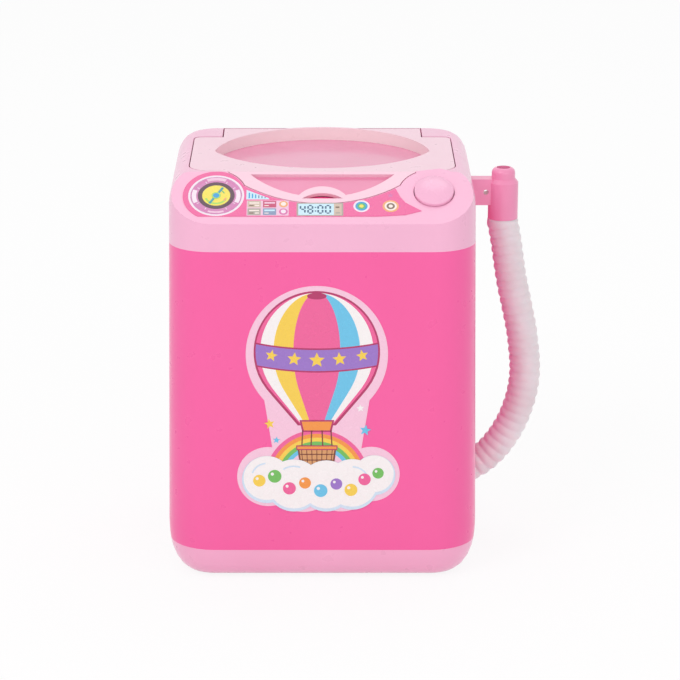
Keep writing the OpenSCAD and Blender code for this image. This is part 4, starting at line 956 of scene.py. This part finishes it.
class WASHER_OT_stage(Operator):
    """Add the pale floor, the lamps and the even light"""

    bl_idname = "washer.stage"
    bl_label = "Studio"

    def execute(self, context):
        stage = context.scene.washer_stage
        self.floor()
        self.sky(context, stage)
        lamps = (
            ("key_lamp", (-0.9, -1.1, 1.3), 0.9, stage.key),
            ("fill_lamp", (0.7, -1.5, 0.7), 1.1, stage.fill),
            ("top_lamp", (0.1, 0.5, 1.5), 1.0, stage.top),
        )
        for name, place, size, power in lamps:
            data = bpy.data.lights.new(name, "AREA")
            data.shape = "DISK"
            data.size = size
            data.energy = power
            lamp = bpy.data.objects.new(name, data)
            context.scene.collection.objects.link(lamp)
            lamp.location = place
            lamp.rotation_euler = (Vector((0, 0, 0.08)) - Vector(place)).to_track_quat("-Z", "Y").to_euler()
        context.scene.view_settings.view_transform = "Standard"
        return {"FINISHED"}

    def seen_directly(self, nodes, links):
        """One for what the camera, a reflection or a clear part sees, and nought for light."""
        path = nodes.new("ShaderNodeLightPath")
        total = None
        for name in ("Is Camera Ray", "Is Glossy Ray", "Is Transmission Ray"):
            if total is None:
                total = path.outputs[name]
                continue
            larger = nodes.new("ShaderNodeMath")
            larger.operation = "MAXIMUM"
            links.new(total, larger.inputs[0])
            links.new(path.outputs[name], larger.inputs[1])
            total = larger.outputs["Value"]
        return total

    def floor(self):
        """The white floor, which keeps a soft shadow."""
        material = bpy.data.materials.new("studio_floor")
        material.use_nodes = True
        nodes = material.node_tree.nodes
        links = material.node_tree.links
        nodes.clear()
        matt = nodes.new("ShaderNodeBsdfDiffuse")
        matt.inputs["Color"].default_value = (0.93, 0.93, 0.93, 1)
        glow = nodes.new("ShaderNodeEmission")
        glow.inputs["Color"].default_value = (1, 1, 1, 1)
        glow.inputs["Strength"].default_value = 1.02
        share = nodes.new("ShaderNodeMath")
        share.operation = "MULTIPLY"
        share.inputs[1].default_value = 0.86
        links.new(self.seen_directly(nodes, links), share.inputs[0])
        mix = nodes.new("ShaderNodeMixShader")
        links.new(share.outputs["Value"], mix.inputs["Fac"])
        links.new(matt.outputs["BSDF"], mix.inputs[1])
        links.new(glow.outputs["Emission"], mix.inputs[2])
        out = nodes.new("ShaderNodeOutputMaterial")
        links.new(mix.outputs["Shader"], out.inputs["Surface"])
        bm = bmesh.new()
        bmesh.ops.create_circle(bm, cap_ends=True, segments=64, radius=9)
        floor = link_mesh(bm, "studio_floor", [material])

    def sky(self, context, stage):
        """Even light, seen as white."""
        world = bpy.data.worlds.new("studio_light")
        context.scene.world = world
        world.use_nodes = True
        nodes = world.node_tree.nodes
        links = world.node_tree.links
        light = nodes["Background"]
        light.inputs["Color"].default_value = (1, 1, 1, 1)
        strength = nodes.new("ShaderNodeMapRange")
        strength.inputs["To Min"].default_value = stage.world
        strength.inputs["To Max"].default_value = 1.0
        links.new(self.seen_directly(nodes, links), strength.inputs["Value"])
        links.new(strength.outputs["Result"], light.inputs["Strength"])


class WASHER_PT_sidebar(Panel):
    """Shows the settings of the finishes, prints, hose and studio, and the operators' buttons"""

    bl_idname = "WASHER_PT_sidebar"
    bl_label = "Toy washing machine"
    bl_space_type = "VIEW_3D"
    bl_region_type = "UI"
    bl_category = "Washer"

    def draw(self, context):
        layout = self.layout
        for group in (context.scene.washer_plastics, context.scene.washer_prints, context.scene.washer_hose,
                      context.scene.washer_stage):
            box = layout.box()
            for name in group.bl_rna.properties.keys():
                if name not in ("rna_type", "name"):
                    box.prop(group, name)
        for operator in OPERATORS:
            layout.operator(operator.bl_idname)


GROUPS = (WasherPlastics, WasherPrints, WasherHose, WasherStage)
OPERATORS = (
    WASHER_OT_camera, WASHER_OT_hook, WASHER_OT_hose, WASHER_OT_shell, WASHER_OT_lid, WASHER_OT_controls,
    WASHER_OT_panel_print, WASHER_OT_front_print, WASHER_OT_drum, WASHER_OT_drive, WASHER_OT_batteries,
    WASHER_OT_fasteners, WASHER_OT_stage,
)
CLASSES = GROUPS + OPERATORS + (WASHER_PT_sidebar,)


def register():
    for cls in CLASSES:
        bpy.utils.register_class(cls)
    bpy.types.Scene.washer_plastics = PointerProperty(type=WasherPlastics)
    bpy.types.Scene.washer_prints = PointerProperty(type=WasherPrints)
    bpy.types.Scene.washer_hose = PointerProperty(type=WasherHose)
    bpy.types.Scene.washer_stage = PointerProperty(type=WasherStage)


def unregister():
    del bpy.types.Scene.washer_stage
    del bpy.types.Scene.washer_hose
    del bpy.types.Scene.washer_prints
    del bpy.types.Scene.washer_plastics
    for cls in reversed(CLASSES):
        bpy.utils.unregister_class(cls)


def main():
    register()
    bpy.ops.washer.camera()
    bpy.ops.washer.hook()
    bpy.ops.washer.hose()
    bpy.ops.washer.shell()
    bpy.ops.washer.lid()
    bpy.ops.washer.controls()
    bpy.ops.washer.panel_print()
    bpy.ops.washer.front_print()
    bpy.ops.washer.drum()
    bpy.ops.washer.drive()
    bpy.ops.washer.batteries()
    bpy.ops.washer.fasteners()
    bpy.ops.washer.stage()


if __name__ == "__main__":
    main()
